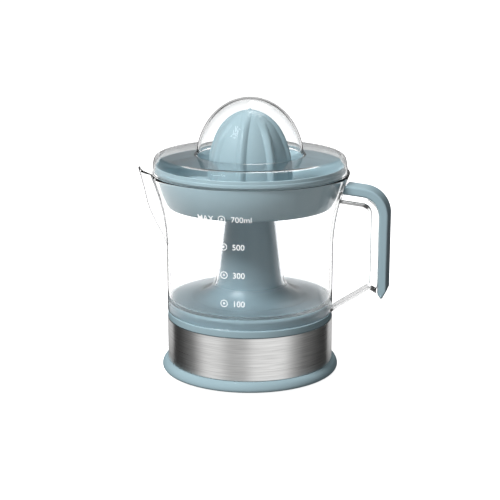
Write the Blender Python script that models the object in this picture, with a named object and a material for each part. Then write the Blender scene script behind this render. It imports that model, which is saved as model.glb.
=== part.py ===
"""Citrus press juicer: a round motor base with a tall centre column, a clear jug that drops
over the column, a juice bowl with a strainer in the jug's mouth, a ribbed cone and a dust cover.

Metres, +Z up. The origin is on the drive spindle's axis, on the flat pad under the base.
+X points to the handle and -X to the spout.
"""

import math

import bmesh
import bpy

MM = 0.001
CLEARANCE = 0.3 * MM
ROUND_STEPS = 32
SMALL_STEPS = 16

# Base: foot ring, bottom cover, steel band
BAND_RADIUS = 62.0 * MM
BAND_THICKNESS = 0.6 * MM
BAND_HEIGHT = 32.0 * MM
FOOT_FLARE = 4.7 * MM
FOOT_HEIGHT = 7.3 * MM
FOOT_LIP = 2.2 * MM
FOOT_LEDGE_WIDTH = 1.9 * MM
FOOT_LEDGE_HEIGHT = 3.2 * MM
FOOT_LEDGE_THICKNESS = 2.0 * MM
COVER_PLATE_THICKNESS = 2.2 * MM
PAD_HEIGHT = 0.7 * MM
PAD_RADIUS = 25.0 * MM
RUBBER_FOOT_RADIUS = 6.0 * MM
RUBBER_FOOT_DROP = 1.5 * MM
RUBBER_FOOT_STEM = 2.0 * MM
RUBBER_FOOT_MARGIN = 5.5 * MM

# Motor housing: wall, rim, deck and column
HOUSING_WALL = 2.4 * MM
HOUSING_RIM_HEIGHT = 5.0 * MM
DECK_PLAY = 0.5 * MM
DECK_RISE = 6.7 * MM
DECK_THICKNESS = 2.4 * MM
COLUMN_DROP = 4.5 * MM
COLUMN_FOOT_RADIUS = 22.9 * MM
COLUMN_TOP_RADIUS = 16.3 * MM
COLUMN_WALL = 2.2 * MM
FLARE_HEIGHT = 18.1 * MM
FLARE_REACH = 14.0 * MM
POST_RADIUS = 4.0 * MM
POST_GAP = 0.6 * MM
PLATE_POST_RADIUS = 3.5 * MM
PLATE_POST_ANGLES = (160, 240, 320)
SCREW_RADIUS = 1.2 * MM
SCREW_HEAD_RADIUS = 2.8 * MM
SCREW_HEAD_HEIGHT = 1.6 * MM
SCREW_LENGTH = 9.0 * MM
CORD_INLET_HEIGHT = 18.0 * MM
CORD_INLET_RADIUS = 5.0 * MM
CORD_BORE = 3.4 * MM

# Drive train
GEAR_PLATE_THICKNESS = 2.5 * MM
GEAR_PLATE_EDGE = 1.5 * MM
GEAR_PLATE_GAP = 1.0 * MM
GEAR_MODULE = 1.0 * MM
PINION_TEETH = 10
IDLER_TEETH = 44
IDLER_PINION_TEETH = 10
OUTPUT_TEETH = 52
GEAR_THICKNESS = 3.0 * MM
OUTPUT_THICKNESS = 5.0 * MM
OUTPUT_HUB_WALL = 2.5 * MM
PIN_RADIUS = 1.6 * MM
HEX_ACROSS = 7.0 * MM
HEX_PLAY = 0.4 * MM
SPINDLE_RADIUS = 4.0 * MM
SPINDLE_OVER_HUB = 5.9 * MM
PRESS_TRAVEL = 3.0 * MM
CUP_WALL = 1.26 * MM
CUP_PLAY = 0.6 * MM
CUP_HEIGHT = 9.5 * MM
CUP_FLOOR = 24.0 * MM
GUIDE_WALL = 1.3 * MM
GUIDE_FLOOR = 14.0 * MM
SPRING_INSET = 1.5 * MM
SPRING_WIRE = 0.45 * MM
SPRING_TURNS = 4
PLUNGER_RADIUS = 1.3 * MM

# Motor
STACK_HEIGHT = 14.0 * MM
STACK_BASE = 12.0 * MM
STACK_LEG = 9.0 * MM
STACK_BACK = -33.0 * MM
POLE_SHOE_WALL = 1.5 * MM
POLE_SHOE_SIDE = 8.5 * MM
ROTOR_RADIUS = 12.5 * MM
ROTOR_AIR_GAP = 1.0 * MM
ROTOR_LENGTH = 16.0 * MM
WINDING_THICKNESS = 3.0 * MM
BOBBIN_WALL = 0.8 * MM
COIL_LENGTH = 28.0 * MM
COIL_BACK = -20.0 * MM

# Jug and handle
JUG_HEIGHT = 103.9 * MM
JUG_WALL = 2.0 * MM
JUG_FLARE_HEIGHT = 56.1 * MM
JUG_FLARE = 11.7 * MM
JUG_FLARE_POWER = 1.85
JUG_FLOOR_THICKNESS = 1.8 * MM
JUG_FLOOR_GAP = 1.0 * MM
SLEEVE_GAP = 0.7 * MM
SLEEVE_WALL = 1.4 * MM
SLEEVE_IN_BOWL = 7.0 * MM
SPOUT_HEIGHT = 54.6 * MM
SPOUT_REACH = 15.0 * MM
SPOUT_HALF_ANGLE = 22.5
HANDLE_REACH = 35.3 * MM
GRIP_THICKNESS = 6.6 * MM
GRIP_WIDTH = 19.0 * MM
STRAP_DEPTH = 6.8 * MM
STRAP_WIDTH = 18.0 * MM
HANDLE_BEND_DROP = 27.8 * MM
HANDLE_BEND_RADIUS = 13.9 * MM
HANDLE_SLOPE = 6.0
HANDLE_END_RISE = 18.2 * MM
STRUT_THICKNESS = 2.4 * MM
STRUT_SLOPE = 34.0

# Bowl, strainer, cone, cover
RIM_GAP = 0.4 * MM
BOWL_DEPTH = 25.0 * MM
BOWL_BULGE = 0.3 * MM
BOWL_WALL = 1.8 * MM
BOWL_RIM_HEIGHT = 5.4 * MM
BOWL_RIM_INSET = 1.8 * MM
BOWL_RIM_LIP = 1.9 * MM
BOWL_HUB_WALL = 2.0 * MM
BOWL_HUB_PLAY = 1.2 * MM
BOWL_HUB_RISE = 6.5 * MM
STRAINER_DROP = 3.4 * MM
STRAINER_THICKNESS = 1.8 * MM
STRAINER_PLAY = 2.2 * MM
STRAINER_SLOTS = 24
SLOT_WIDTH = 1.8 * MM
SLOT_INNER_GAP = 2.0 * MM
SLOT_OUTER_MARGIN = 4.57 * MM
COLLAR_HEIGHT = 4.0 * MM
HUB_RADIUS = 7.9 * MM
HUB_HEX_WALL = 3.6 * MM
HUB_HEX_LENGTH = 14.0 * MM
HUB_FLANGE = 1.7 * MM
CONE_LIFT = 5.5 * MM
CONE_HEIGHT = 52.2 * MM
CONE_RADIUS = 29.6 * MM
CONE_WALL = 2.4 * MM
RIB_HEIGHT = 2.4 * MM
CONE_STEPS = 48
COVER_WALL = 1.4 * MM
COVER_PLAY = 0.8 * MM
COVER_TAPER = 1.9 * MM
COVER_SKIRT = 12.8 * MM
DOME_PLAY = 6.2 * MM
DOME_DROP = 4.3 * MM
DOME_OVER_CONE = 8.0 * MM

# Radii of the base, from the steel band inwards and outwards
FOOT_RADIUS = BAND_RADIUS + FOOT_FLARE
WALL_RADIUS = BAND_RADIUS - BAND_THICKNESS - CLEARANCE
FOOT_BORE = WALL_RADIUS - HOUSING_WALL - FOOT_LIP
FOOT_LEDGE = FOOT_BORE - FOOT_LEDGE_WIDTH
HOUSING_RIM_RADIUS = BAND_RADIUS - CLEARANCE
RUBBER_FOOT_CIRCLE = FOOT_BORE - RUBBER_FOOT_RADIUS - RUBBER_FOOT_MARGIN
POST_CIRCLE = FOOT_LEDGE - POST_GAP - POST_RADIUS
GEAR_PLATE_RADIUS = POST_CIRCLE - POST_RADIUS - GEAR_PLATE_GAP
PLATE_POST_CIRCLE = GEAR_PLATE_RADIUS - GEAR_PLATE_EDGE - PLATE_POST_RADIUS
JUG_RADIUS = BAND_RADIUS
DECK_RADIUS = JUG_RADIUS - JUG_WALL - DECK_PLAY

# Heights, from the foot ring to the top of the dome
BAND_BASE = FOOT_HEIGHT + CLEARANCE
BAND_TOP = BAND_BASE + BAND_HEIGHT
RIM_BASE = BAND_TOP + CLEARANCE
JUG_BASE = RIM_BASE + HOUSING_RIM_HEIGHT + CLEARANCE
DECK_HEIGHT = JUG_BASE + DECK_RISE
FLARE_TOP = DECK_HEIGHT + FLARE_HEIGHT
JUG_FLOOR = DECK_HEIGHT + JUG_FLOOR_GAP
JUG_TOP = JUG_BASE + JUG_HEIGHT
JUG_FLARE_START = JUG_TOP - JUG_FLARE_HEIGHT
SPOUT_START = JUG_TOP - SPOUT_HEIGHT
BOWL_RIM_BASE = JUG_TOP + RIM_GAP
BOWL_FLOOR = BOWL_RIM_BASE - BOWL_DEPTH
SLEEVE_TOP = BOWL_FLOOR + SLEEVE_IN_BOWL
COLUMN_TOP = SLEEVE_TOP - COLUMN_DROP
BOWL_HUB_TOP = SLEEVE_TOP + BOWL_HUB_RISE
STRAINER_CAP = BOWL_HUB_TOP + CLEARANCE
STRAINER_LEVEL = STRAINER_CAP - STRAINER_DROP
HUB_BASE = STRAINER_CAP + CLEARANCE
COLLAR_TOP = STRAINER_CAP + STRAINER_THICKNESS + COLLAR_HEIGHT
HUB_SHOULDER = COLLAR_TOP + CLEARANCE + HUB_FLANGE
HUB_TOP = HUB_SHOULDER + HUB_HEX_LENGTH
SPINDLE_TOP = HUB_TOP + SPINDLE_OVER_HUB
CONE_BASE = BOWL_HUB_TOP + CONE_LIFT
CONE_TOP = CONE_BASE + CONE_HEIGHT
COVER_BASE = JUG_TOP + RIM_GAP
COVER_SHOULDER = COVER_BASE + COVER_SKIRT
DOME_CENTER = COVER_SHOULDER - DOME_DROP
DOME_TOP = CONE_TOP + DOME_OVER_CONE

# Handle, bowl and cover, from the jug
GRIP_REACH = JUG_RADIUS + HANDLE_REACH
BEND_REACH = GRIP_REACH - HANDLE_BEND_RADIUS
STRAP_REACH = GRIP_REACH - CLEARANCE
HANDLE_BEND_HEIGHT = JUG_TOP - HANDLE_BEND_DROP
HANDLE_END = JUG_BASE + HANDLE_END_RISE
BOWL_FLOOR_RADIUS = JUG_RADIUS - JUG_WALL + BOWL_BULGE
BOWL_RIM_RADIUS = JUG_RADIUS + JUG_FLARE - JUG_WALL - BOWL_RIM_INSET
BOWL_WALL_TOP_RADIUS = BOWL_RIM_RADIUS - BOWL_RIM_LIP
COVER_RADIUS = BOWL_RIM_RADIUS + COVER_PLAY + COVER_WALL
COVER_SHOULDER_RADIUS = COVER_RADIUS - COVER_TAPER
DOME_RADIUS = CONE_RADIUS + RIB_HEIGHT + DOME_PLAY + COVER_WALL

# Motor and drive train
HEX_CORNER = HEX_ACROSS / 2 / math.cos(math.radians(30))
HEX_HOLE = HEX_ACROSS + 2 * HEX_PLAY
OUTPUT_HUB_RADIUS = HEX_HOLE / 2 / math.cos(math.radians(30)) + OUTPUT_HUB_WALL
HUB_HEX_ACROSS = HEX_HOLE + 2 * HUB_HEX_WALL
CUP_CAVITY = HEX_CORNER + CUP_PLAY
CUP_RADIUS = CUP_CAVITY + CUP_WALL
SPRING_RADIUS = CUP_RADIUS - SPRING_INSET
GUIDE_BORE = CUP_RADIUS + 0.4 * MM
GUIDE_RADIUS = GUIDE_BORE + GUIDE_WALL
GEAR_PLATE_HEIGHT = STACK_BASE + STACK_HEIGHT + 4 * CLEARANCE + BOBBIN_WALL + WINDING_THICKNESS
PLATE_TOP = GEAR_PLATE_HEIGHT + GEAR_PLATE_THICKNESS
LOWER_GEARS = PLATE_TOP + 5 * CLEARANCE
UPPER_GEARS = LOWER_GEARS + GEAR_THICKNESS + 5 * CLEARANCE
ROTOR_DISTANCE = GEAR_MODULE * (PINION_TEETH + IDLER_TEETH) / 2
IDLER_DISTANCE = GEAR_MODULE * (IDLER_PINION_TEETH + OUTPUT_TEETH) / 2
ROTOR_AXIS = (0.0, ROTOR_DISTANCE)
IDLER_Y = IDLER_DISTANCE**2 / (2 * ROTOR_DISTANCE)
IDLER_AXIS = (math.sqrt(IDLER_DISTANCE**2 - IDLER_Y**2), IDLER_Y)
STATOR_BORE = ROTOR_RADIUS + ROTOR_AIR_GAP
STACK_HALF_WIDTH = STATOR_BORE + POLE_SHOE_SIDE
STACK_FRONT = ROTOR_DISTANCE + STATOR_BORE + POLE_SHOE_WALL
POLE_SHOE_START = ROTOR_DISTANCE - STATOR_BORE - POLE_SHOE_WALL


def clear_scene():
    for item in list(bpy.data.objects):
        bpy.data.objects.remove(item, do_unlink=True)


def finish(name, color, roughness, metallic=0.0, transmission=0.0):
    """A Principled material; color is linear red, green, blue."""
    material = bpy.data.materials.new(name)
    material.use_nodes = True
    shader = material.node_tree.nodes["Principled BSDF"]
    shader.inputs["Base Color"].default_value = (*color, 1.0)
    shader.inputs["Roughness"].default_value = roughness
    shader.inputs["Metallic"].default_value = metallic
    shader.inputs["Transmission Weight"].default_value = transmission
    return material


def put(name, mesh, material, place=(0, 0, 0), parent=None):
    """Turns a bmesh into a named object, closed side out, smooth where it is round."""
    bmesh.ops.recalc_face_normals(mesh, faces=mesh.faces[:])
    data = bpy.data.meshes.new(name)
    mesh.to_mesh(data)
    mesh.free()
    data.shade_smooth()
    data.set_sharp_from_angle(angle=math.radians(32))
    data.materials.append(material)
    item = bpy.data.objects.new(name, data)
    item.location = place
    item.parent = parent
    bpy.context.scene.collection.objects.link(item)
    return item


def add_turned(mesh, outline, steps, center=(0, 0), axis="Z"):
    """Turns an outline of (radius, height) round an axis. A radius may be a function of the angle."""
    rings = []
    for radius, height in outline:
        count = 1 if radius == 0 else steps
        ring = []
        for step in range(count):
            angle = 2 * math.pi * step / steps
            size = radius(angle) if callable(radius) else radius
            across, along = size * math.cos(angle), size * math.sin(angle)
            if axis == "Z":
                spot = (center[0] + across, center[1] + along, height)
            else:
                spot = (center[0] + across, height, center[1] + along)
            ring.append(mesh.verts.new(spot))
        rings.append(ring)
    for index, ring in enumerate(rings):
        following = rings[(index + 1) % len(rings)]
        for step in range(steps):
            corners = [ring[step % len(ring)], ring[(step + 1) % len(ring)]]
            corners += [following[(step + 1) % len(following)], following[step % len(following)]]
            corners = list(dict.fromkeys(corners))
            if len(corners) > 2:
                mesh.faces.new(corners)


def turned(name, outline, material, steps=ROUND_STEPS, place=(0, 0, 0), parent=None, axis="Z"):
    mesh = bmesh.new()
    add_turned(mesh, outline, steps, axis=axis)
    return put(name, mesh, material, place, parent)


def add_prism(mesh, outline, low, high, plane="XY"):
    """Extrudes a closed outline between two heights, or across Y when the plane is XZ."""

    def spot(point, level):
        return (*point, level) if plane == "XY" else (point[0], level, point[1])

    face = mesh.faces.new([mesh.verts.new(spot(point, low)) for point in outline])
    shift = (0, 0, high - low) if plane == "XY" else (0, high - low, 0)
    grown = bmesh.ops.extrude_face_region(mesh, geom=[face], use_keep_orig=True)
    moved = [part for part in grown["geom"] if isinstance(part, bmesh.types.BMVert)]
    bmesh.ops.translate(mesh, verts=moved, vec=shift)


def prism(name, outline, low, high, material, plane="XY", place=(0, 0, 0), parent=None):
    mesh = bmesh.new()
    add_prism(mesh, outline, low, high, plane)
    return put(name, mesh, material, place, parent)


def rectangle(x_low, x_high, y_low, y_high):
    return [(x_low, y_low), (x_high, y_low), (x_high, y_high), (x_low, y_high)]


def circle_places(radius, angles):
    return [(radius * math.cos(math.radians(a)), radius * math.sin(math.radians(a))) for a in angles]


def rods(name, places, radius, low, high, steps=12):
    """A hidden group of upright rods that adds to, or cuts, another piece."""
    mesh = bmesh.new()
    for place in places:
        add_turned(mesh, [(0, low), (radius, low), (radius, high), (0, high)], steps, place)
    return hidden(put(name, mesh, helper_finish))


def hidden(item):
    item.hide_render = True
    item.display_type = "WIRE"
    return item


def combine(item, other, operation):
    boolean = item.modifiers.new(other.name, "BOOLEAN")
    boolean.object = other
    boolean.operation = operation
    boolean.solver = "EXACT"


def soften(item, width, segments=1):
    bevel = item.modifiers.new("soft_edges", "BEVEL")
    bevel.width = width
    bevel.segments = segments
    bevel.limit_method = "ANGLE"
    bevel.angle_limit = math.radians(40)
    bevel.use_clamp_overlap = True


def axis_empty(name, place, parent=None):
    """Marks the axis that a moving piece turns about or slides along."""
    empty = bpy.data.objects.new(name, None)
    empty.empty_display_size = 0.01
    empty.location = place
    empty.parent = parent
    bpy.context.scene.collection.objects.link(empty)
    return empty


def hexagon(across):
    """The radius of a hexagon, flat to flat `across`, at each angle."""

    def radius(angle):
        turn = angle % math.radians(60) - math.radians(30)
        return across / 2 / math.cos(turn)

    return radius


def column_radius(height):
    """Outer radius of the housing's column: a straight taper over a trumpet-shaped foot."""
    taper = (COLUMN_FOOT_RADIUS - COLUMN_TOP_RADIUS) / (COLUMN_TOP - FLARE_TOP)
    radius = COLUMN_FOOT_RADIUS - taper * (height - FLARE_TOP)
    if height < FLARE_TOP:
        radius += FLARE_REACH * ((FLARE_TOP - height) / (FLARE_TOP - DECK_HEIGHT)) ** 3
    return radius


def flare_heights(low, count):
    return [low + (FLARE_TOP - low) * step / count for step in range(count + 1)]


# ---------------------------------------------------------------- base


def make_foot_ring():
    drop = FOOT_RADIUS - BAND_RADIUS
    outline = [
        (FOOT_BORE, 0),
        (FOOT_RADIUS - 0.9 * MM, 0),
        (FOOT_RADIUS, 0.28 * FOOT_HEIGHT),
        (FOOT_RADIUS - 0.1 * drop, 0.52 * FOOT_HEIGHT),
        (FOOT_RADIUS - 0.36 * drop, 0.77 * FOOT_HEIGHT),
        (BAND_RADIUS + 0.4 * MM, FOOT_HEIGHT),
        (WALL_RADIUS - HOUSING_WALL + CLEARANCE, FOOT_HEIGHT),
        (WALL_RADIUS - HOUSING_WALL + CLEARANCE, FOOT_LEDGE_HEIGHT + FOOT_LEDGE_THICKNESS),
        (FOOT_LEDGE, FOOT_LEDGE_HEIGHT + FOOT_LEDGE_THICKNESS),
        (FOOT_LEDGE, FOOT_LEDGE_HEIGHT),
        (FOOT_BORE, FOOT_LEDGE_HEIGHT),
    ]
    turned("foot_ring", outline, blue_grey)


def make_bottom_cover():
    edge = FOOT_BORE - CLEARANCE
    top = PAD_HEIGHT + COVER_PLATE_THICKNESS
    outline = [(0, 0), (PAD_RADIUS, 0), (PAD_RADIUS, PAD_HEIGHT), (edge, PAD_HEIGHT), (edge, top), (0, top)]
    cover = turned("bottom_cover", outline, dark_plastic)
    feet = circle_places(RUBBER_FOOT_CIRCLE, (45, 135, 225, 315))
    posts = circle_places(POST_CIRCLE, (0, 90, 180, 270))
    stem_hole = RUBBER_FOOT_STEM + CLEARANCE
    combine(cover, rods("foot_holes", feet, stem_hole, -MM, top + MM), "DIFFERENCE")
    combine(cover, rods("cover_screw_holes", posts, SCREW_RADIUS + CLEARANCE, -MM, top + MM), "DIFFERENCE")


def make_rubber_feet():
    plate_top = PAD_HEIGHT + COVER_PLATE_THICKNESS
    outline = [
        (0, -RUBBER_FOOT_DROP),
        (RUBBER_FOOT_RADIUS, -RUBBER_FOOT_DROP),
        (RUBBER_FOOT_RADIUS, PAD_HEIGHT - CLEARANCE),
        (RUBBER_FOOT_STEM, PAD_HEIGHT - CLEARANCE),
        (RUBBER_FOOT_STEM, plate_top + MM),
        (0, plate_top + MM),
    ]
    places = circle_places(RUBBER_FOOT_CIRCLE, (45, 135, 225, 315))
    for number, (x, y) in enumerate(places, 1):
        turned(f"rubber_foot_{number}", outline, rubber, SMALL_STEPS, (x, y, 0))


def screw_outline(seat, length):
    """A pan-head screw that points up: the head lies under its seat."""
    return [
        (0, seat - SCREW_HEAD_HEIGHT),
        (0.8 * SCREW_HEAD_RADIUS, seat - SCREW_HEAD_HEIGHT),
        (SCREW_HEAD_RADIUS, seat - 0.5 * SCREW_HEAD_HEIGHT),
        (SCREW_HEAD_RADIUS, seat),
        (SCREW_RADIUS, seat),
        (SCREW_RADIUS, seat + length),
        (0, seat + length),
    ]


def make_cover_screws():
    outline = screw_outline(PAD_HEIGHT - CLEARANCE, SCREW_LENGTH)
    for number, (x, y) in enumerate(circle_places(POST_CIRCLE, (0, 90, 180, 270)), 1):
        turned(f"cover_screw_{number}", outline, steel, 10, (x, y, 0))


def inlet_cutter(name, radius):
    """A rod along +Y where the mains cord enters the back of the base."""
    outline = [
        (0, WALL_RADIUS - 2 * HOUSING_WALL),
        (radius, WALL_RADIUS - 2 * HOUSING_WALL),
        (radius, BAND_RADIUS + 2 * MM),
        (0, BAND_RADIUS + 2 * MM),
    ]
    return hidden(turned(name, outline, helper_finish, SMALL_STEPS, (0, 0, CORD_INLET_HEIGHT), axis="Y"))


def make_steel_band():
    inner = BAND_RADIUS - BAND_THICKNESS
    outline = [(inner, BAND_BASE), (BAND_RADIUS, BAND_BASE), (BAND_RADIUS, BAND_TOP), (inner, BAND_TOP)]
    band = turned("steel_band", outline, brushed_steel)
    combine(band, inlet_cutter("band_inlet_hole", CORD_INLET_RADIUS + CLEARANCE), "DIFFERENCE")


def make_cord_inlet():
    inside = WALL_RADIUS - HOUSING_WALL - 4 * CLEARANCE
    flange = CORD_INLET_RADIUS + 1.8 * MM
    outline = [
        (CORD_BORE, inside - 2 * MM),
        (flange, inside - 2 * MM),
        (flange, inside),
        (CORD_INLET_RADIUS, inside),
        (CORD_INLET_RADIUS, BAND_RADIUS + CLEARANCE),
        (flange, BAND_RADIUS + CLEARANCE),
        (flange - 1.2 * MM, BAND_RADIUS + 2 * MM),
        (CORD_BORE, BAND_RADIUS + 2 * MM),
    ]
    turned("cord_inlet_bush", outline, rubber, SMALL_STEPS, (0, 0, CORD_INLET_HEIGHT), axis="Y")


def make_motor_housing():
    """Rim, deck and column in one moulding, open below, with posts for the cover and the gear plate."""
    inner_wall = WALL_RADIUS - HOUSING_WALL
    ceiling = DECK_HEIGHT - DECK_THICKNESS
    outline = [(inner_wall, BAND_BASE + CLEARANCE), (WALL_RADIUS, BAND_BASE + CLEARANCE)]
    outline += [(WALL_RADIUS, RIM_BASE), (HOUSING_RIM_RADIUS, RIM_BASE)]
    outline += [(HOUSING_RIM_RADIUS, RIM_BASE + HOUSING_RIM_HEIGHT), (DECK_RADIUS, RIM_BASE + HOUSING_RIM_HEIGHT)]
    outline += [(DECK_RADIUS, DECK_HEIGHT - 2.4 * MM), (DECK_RADIUS - 0.7 * MM, DECK_HEIGHT - 0.8 * MM)]
    outline += [(DECK_RADIUS - 2.4 * MM, DECK_HEIGHT)]
    outline += [(column_radius(height), height) for height in flare_heights(DECK_HEIGHT, 5)]
    outline += [(COLUMN_TOP_RADIUS + 0.1 * MM, COLUMN_TOP - MM), (COLUMN_TOP_RADIUS - MM, COLUMN_TOP)]
    bushing_bore = SPINDLE_RADIUS + 2.5 * MM
    outline += [(bushing_bore, COLUMN_TOP), (bushing_bore, COLUMN_TOP - 3 * MM)]
    outline += [(COLUMN_TOP_RADIUS - COLUMN_WALL, COLUMN_TOP - 3 * MM)]
    inner_flare = [h for h in reversed(flare_heights(DECK_HEIGHT, 3))][:-1]
    outline += [(column_radius(height) - COLUMN_WALL, height - 1.2 * MM) for height in inner_flare]
    outline += [(column_radius(DECK_HEIGHT), ceiling), (inner_wall, ceiling)]
    housing = turned("motor_housing", outline, blue_grey)

    posts = circle_places(POST_CIRCLE, (0, 90, 180, 270))
    post_foot = PAD_HEIGHT + COVER_PLATE_THICKNESS + CLEARANCE
    buried = ceiling + DECK_THICKNESS / 2
    combine(housing, rods("cover_posts", posts, POST_RADIUS, post_foot, buried), "UNION")
    plate_posts = circle_places(PLATE_POST_CIRCLE, PLATE_POST_ANGLES)
    combine(housing, rods("plate_posts", plate_posts, PLATE_POST_RADIUS, PLATE_TOP + CLEARANCE, buried), "UNION")
    pilot = SCREW_RADIUS + CLEARANCE
    pilot_end = post_foot + SCREW_LENGTH
    combine(housing, rods("cover_pilots", posts, pilot, post_foot - MM, pilot_end, 10), "DIFFERENCE")
    pilot_end = PLATE_TOP + SCREW_LENGTH
    combine(housing, rods("plate_pilots", plate_posts, pilot, PLATE_TOP, pilot_end, 10), "DIFFERENCE")
    combine(housing, inlet_cutter("housing_inlet_hole", CORD_INLET_RADIUS + CLEARANCE), "DIFFERENCE")


def make_column_bearing():
    bore = SPINDLE_RADIUS + 0.4 * MM
    body = SPINDLE_RADIUS + 2.2 * MM
    flange_base = COLUMN_TOP + CLEARANCE
    flange_top = flange_base + MM
    outline = [(bore, COLUMN_TOP - 4 * MM), (body, COLUMN_TOP - 4 * MM), (body, flange_base)]
    outline += [(body + 1.8 * MM, flange_base), (body + 1.8 * MM, flange_top), (bore, flange_top)]
    turned("column_bushing", outline, bronze, 24)
    seal_base = flange_top + CLEARANCE
    outline = [(bore, seal_base), (body + MM, seal_base), (body, seal_base + 1.1 * MM), (bore, seal_base + 1.1 * MM)]
    turned("shaft_seal", outline, rubber, 24)


# ---------------------------------------------------------------- drive train


def gear_outline(teeth, phase):
    """Straight-flanked teeth with a generous backlash; one tooth is centred on the angle `phase`."""
    pitch_radius = GEAR_MODULE * teeth / 2
    addendum = 0.8 * GEAR_MODULE
    dedendum = 1.1 * GEAR_MODULE
    half_tooth = math.pi * GEAR_MODULE / 4 * 0.8
    slope = math.tan(math.radians(20))
    points = []
    for tooth in range(teeth):
        middle = phase + 2 * math.pi * tooth / teeth
        tip, root = pitch_radius + addendum, pitch_radius - dedendum
        tip_turn = (half_tooth - addendum * slope) / tip
        root_turn = (half_tooth + dedendum * slope) / root
        for radius, turn in ((root, -root_turn), (tip, -tip_turn), (tip, tip_turn), (root, root_turn)):
            points.append((radius * math.cos(middle + turn), radius * math.sin(middle + turn)))
    return points


def direction(start, end):
    return math.atan2(end[1] - start[1], end[0] - start[0])


def tooth_gap_phase(teeth, toward):
    return toward + math.pi / teeth


def make_gear_plate():
    low, high = GEAR_PLATE_HEIGHT, PLATE_TOP
    rim = circle_places(GEAR_PLATE_RADIUS, [360 * step / ROUND_STEPS for step in range(ROUND_STEPS)])
    plate = prism("gear_plate", rim, low, high, zinc_steel)
    combine(plate, rods("guide_hole", [(0, 0)], GUIDE_RADIUS + CLEARANCE, low - MM, high + MM, 24), "DIFFERENCE")
    pins = [ROTOR_AXIS, IDLER_AXIS]
    combine(plate, rods("pin_holes", pins, PIN_RADIUS + CLEARANCE, low - MM, high + MM), "DIFFERENCE")
    screws = circle_places(PLATE_POST_CIRCLE, PLATE_POST_ANGLES) + stator_screw_places()
    combine(plate, rods("plate_screw_holes", screws, SCREW_RADIUS + CLEARANCE, low - MM, high + MM), "DIFFERENCE")
    outline = screw_outline(low - CLEARANCE, SCREW_LENGTH)
    for number, (x, y) in enumerate(circle_places(PLATE_POST_CIRCLE, PLATE_POST_ANGLES), 1):
        turned(f"gear_plate_screw_{number}", outline, steel, 10, (x, y, 0))


def make_idler():
    pin_low, pin_high = GEAR_PLATE_HEIGHT - MM, UPPER_GEARS + OUTPUT_THICKNESS + 2 * MM
    outline = [(0, pin_low), (PIN_RADIUS, pin_low), (PIN_RADIUS, pin_high), (0, pin_high)]
    turned("idler_pin", outline, steel, SMALL_STEPS, (*IDLER_AXIS, 0))
    empty = axis_empty("idler_axis", (*IDLER_AXIS, 0))
    wheel_phase = tooth_gap_phase(IDLER_TEETH, direction(IDLER_AXIS, ROTOR_AXIS))
    wheel = prism(
        "idler_gear",
        gear_outline(IDLER_TEETH, wheel_phase),
        LOWER_GEARS,
        LOWER_GEARS + GEAR_THICKNESS,
        acetal,
        parent=empty,
    )
    mesh = bmesh.new()
    pinion_phase = direction(IDLER_AXIS, (0, 0))
    top = UPPER_GEARS + OUTPUT_THICKNESS
    add_prism(mesh, gear_outline(IDLER_PINION_TEETH, pinion_phase), LOWER_GEARS + MM, top)
    pinion = hidden(put("idler_pinion_form", mesh, helper_finish, parent=empty))
    combine(wheel, pinion, "UNION")
    bore = rods("idler_bore", [(0, 0)], PIN_RADIUS + CLEARANCE, LOWER_GEARS - MM, top + MM)
    bore.parent = empty
    combine(wheel, bore, "DIFFERENCE")


def make_output_gear():
    empty = axis_empty("output_axis", (0, 0, 0))
    phase = tooth_gap_phase(OUTPUT_TEETH, direction((0, 0), IDLER_AXIS))
    top = UPPER_GEARS + OUTPUT_THICKNESS
    gear = prism("output_gear", gear_outline(OUTPUT_TEETH, phase), UPPER_GEARS, top, acetal, parent=empty)
    hub = rods("output_hub_form", [(0, 0)], OUTPUT_HUB_RADIUS, LOWER_GEARS, top + 1.5 * MM, 24)
    combine(gear, hub, "UNION")
    mesh = bmesh.new()
    hexagonal = hexagon(HEX_HOLE)
    low, high = LOWER_GEARS - MM, top + 3 * MM
    add_turned(mesh, [(0, low), (hexagonal, low), (hexagonal, high), (0, high)], 6)
    combine(gear, hidden(put("output_hex_hole", mesh, helper_finish)), "DIFFERENCE")


def make_spindle():
    empty = axis_empty("spindle_axis", (0, 0, 0))
    hexagonal = hexagon(HEX_ACROSS)
    low = CUP_FLOOR + 1.5 * MM + CLEARANCE
    drive_end = UPPER_GEARS + OUTPUT_THICKNESS + 4 * MM
    upper_hex = BOWL_HUB_TOP - 1.5 * MM
    outline = [
        (0, low),
        (hexagonal, low),
        (hexagonal, drive_end),
        (SPINDLE_RADIUS, drive_end + MM),
        (SPINDLE_RADIUS, upper_hex),
        (hexagonal, upper_hex + MM),
        (hexagonal, SPINDLE_TOP - MM),
        (0.6 * SPINDLE_RADIUS, SPINDLE_TOP),
        (0, SPINDLE_TOP),
    ]
    turned("drive_spindle", outline, steel, 24, parent=empty)


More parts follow.
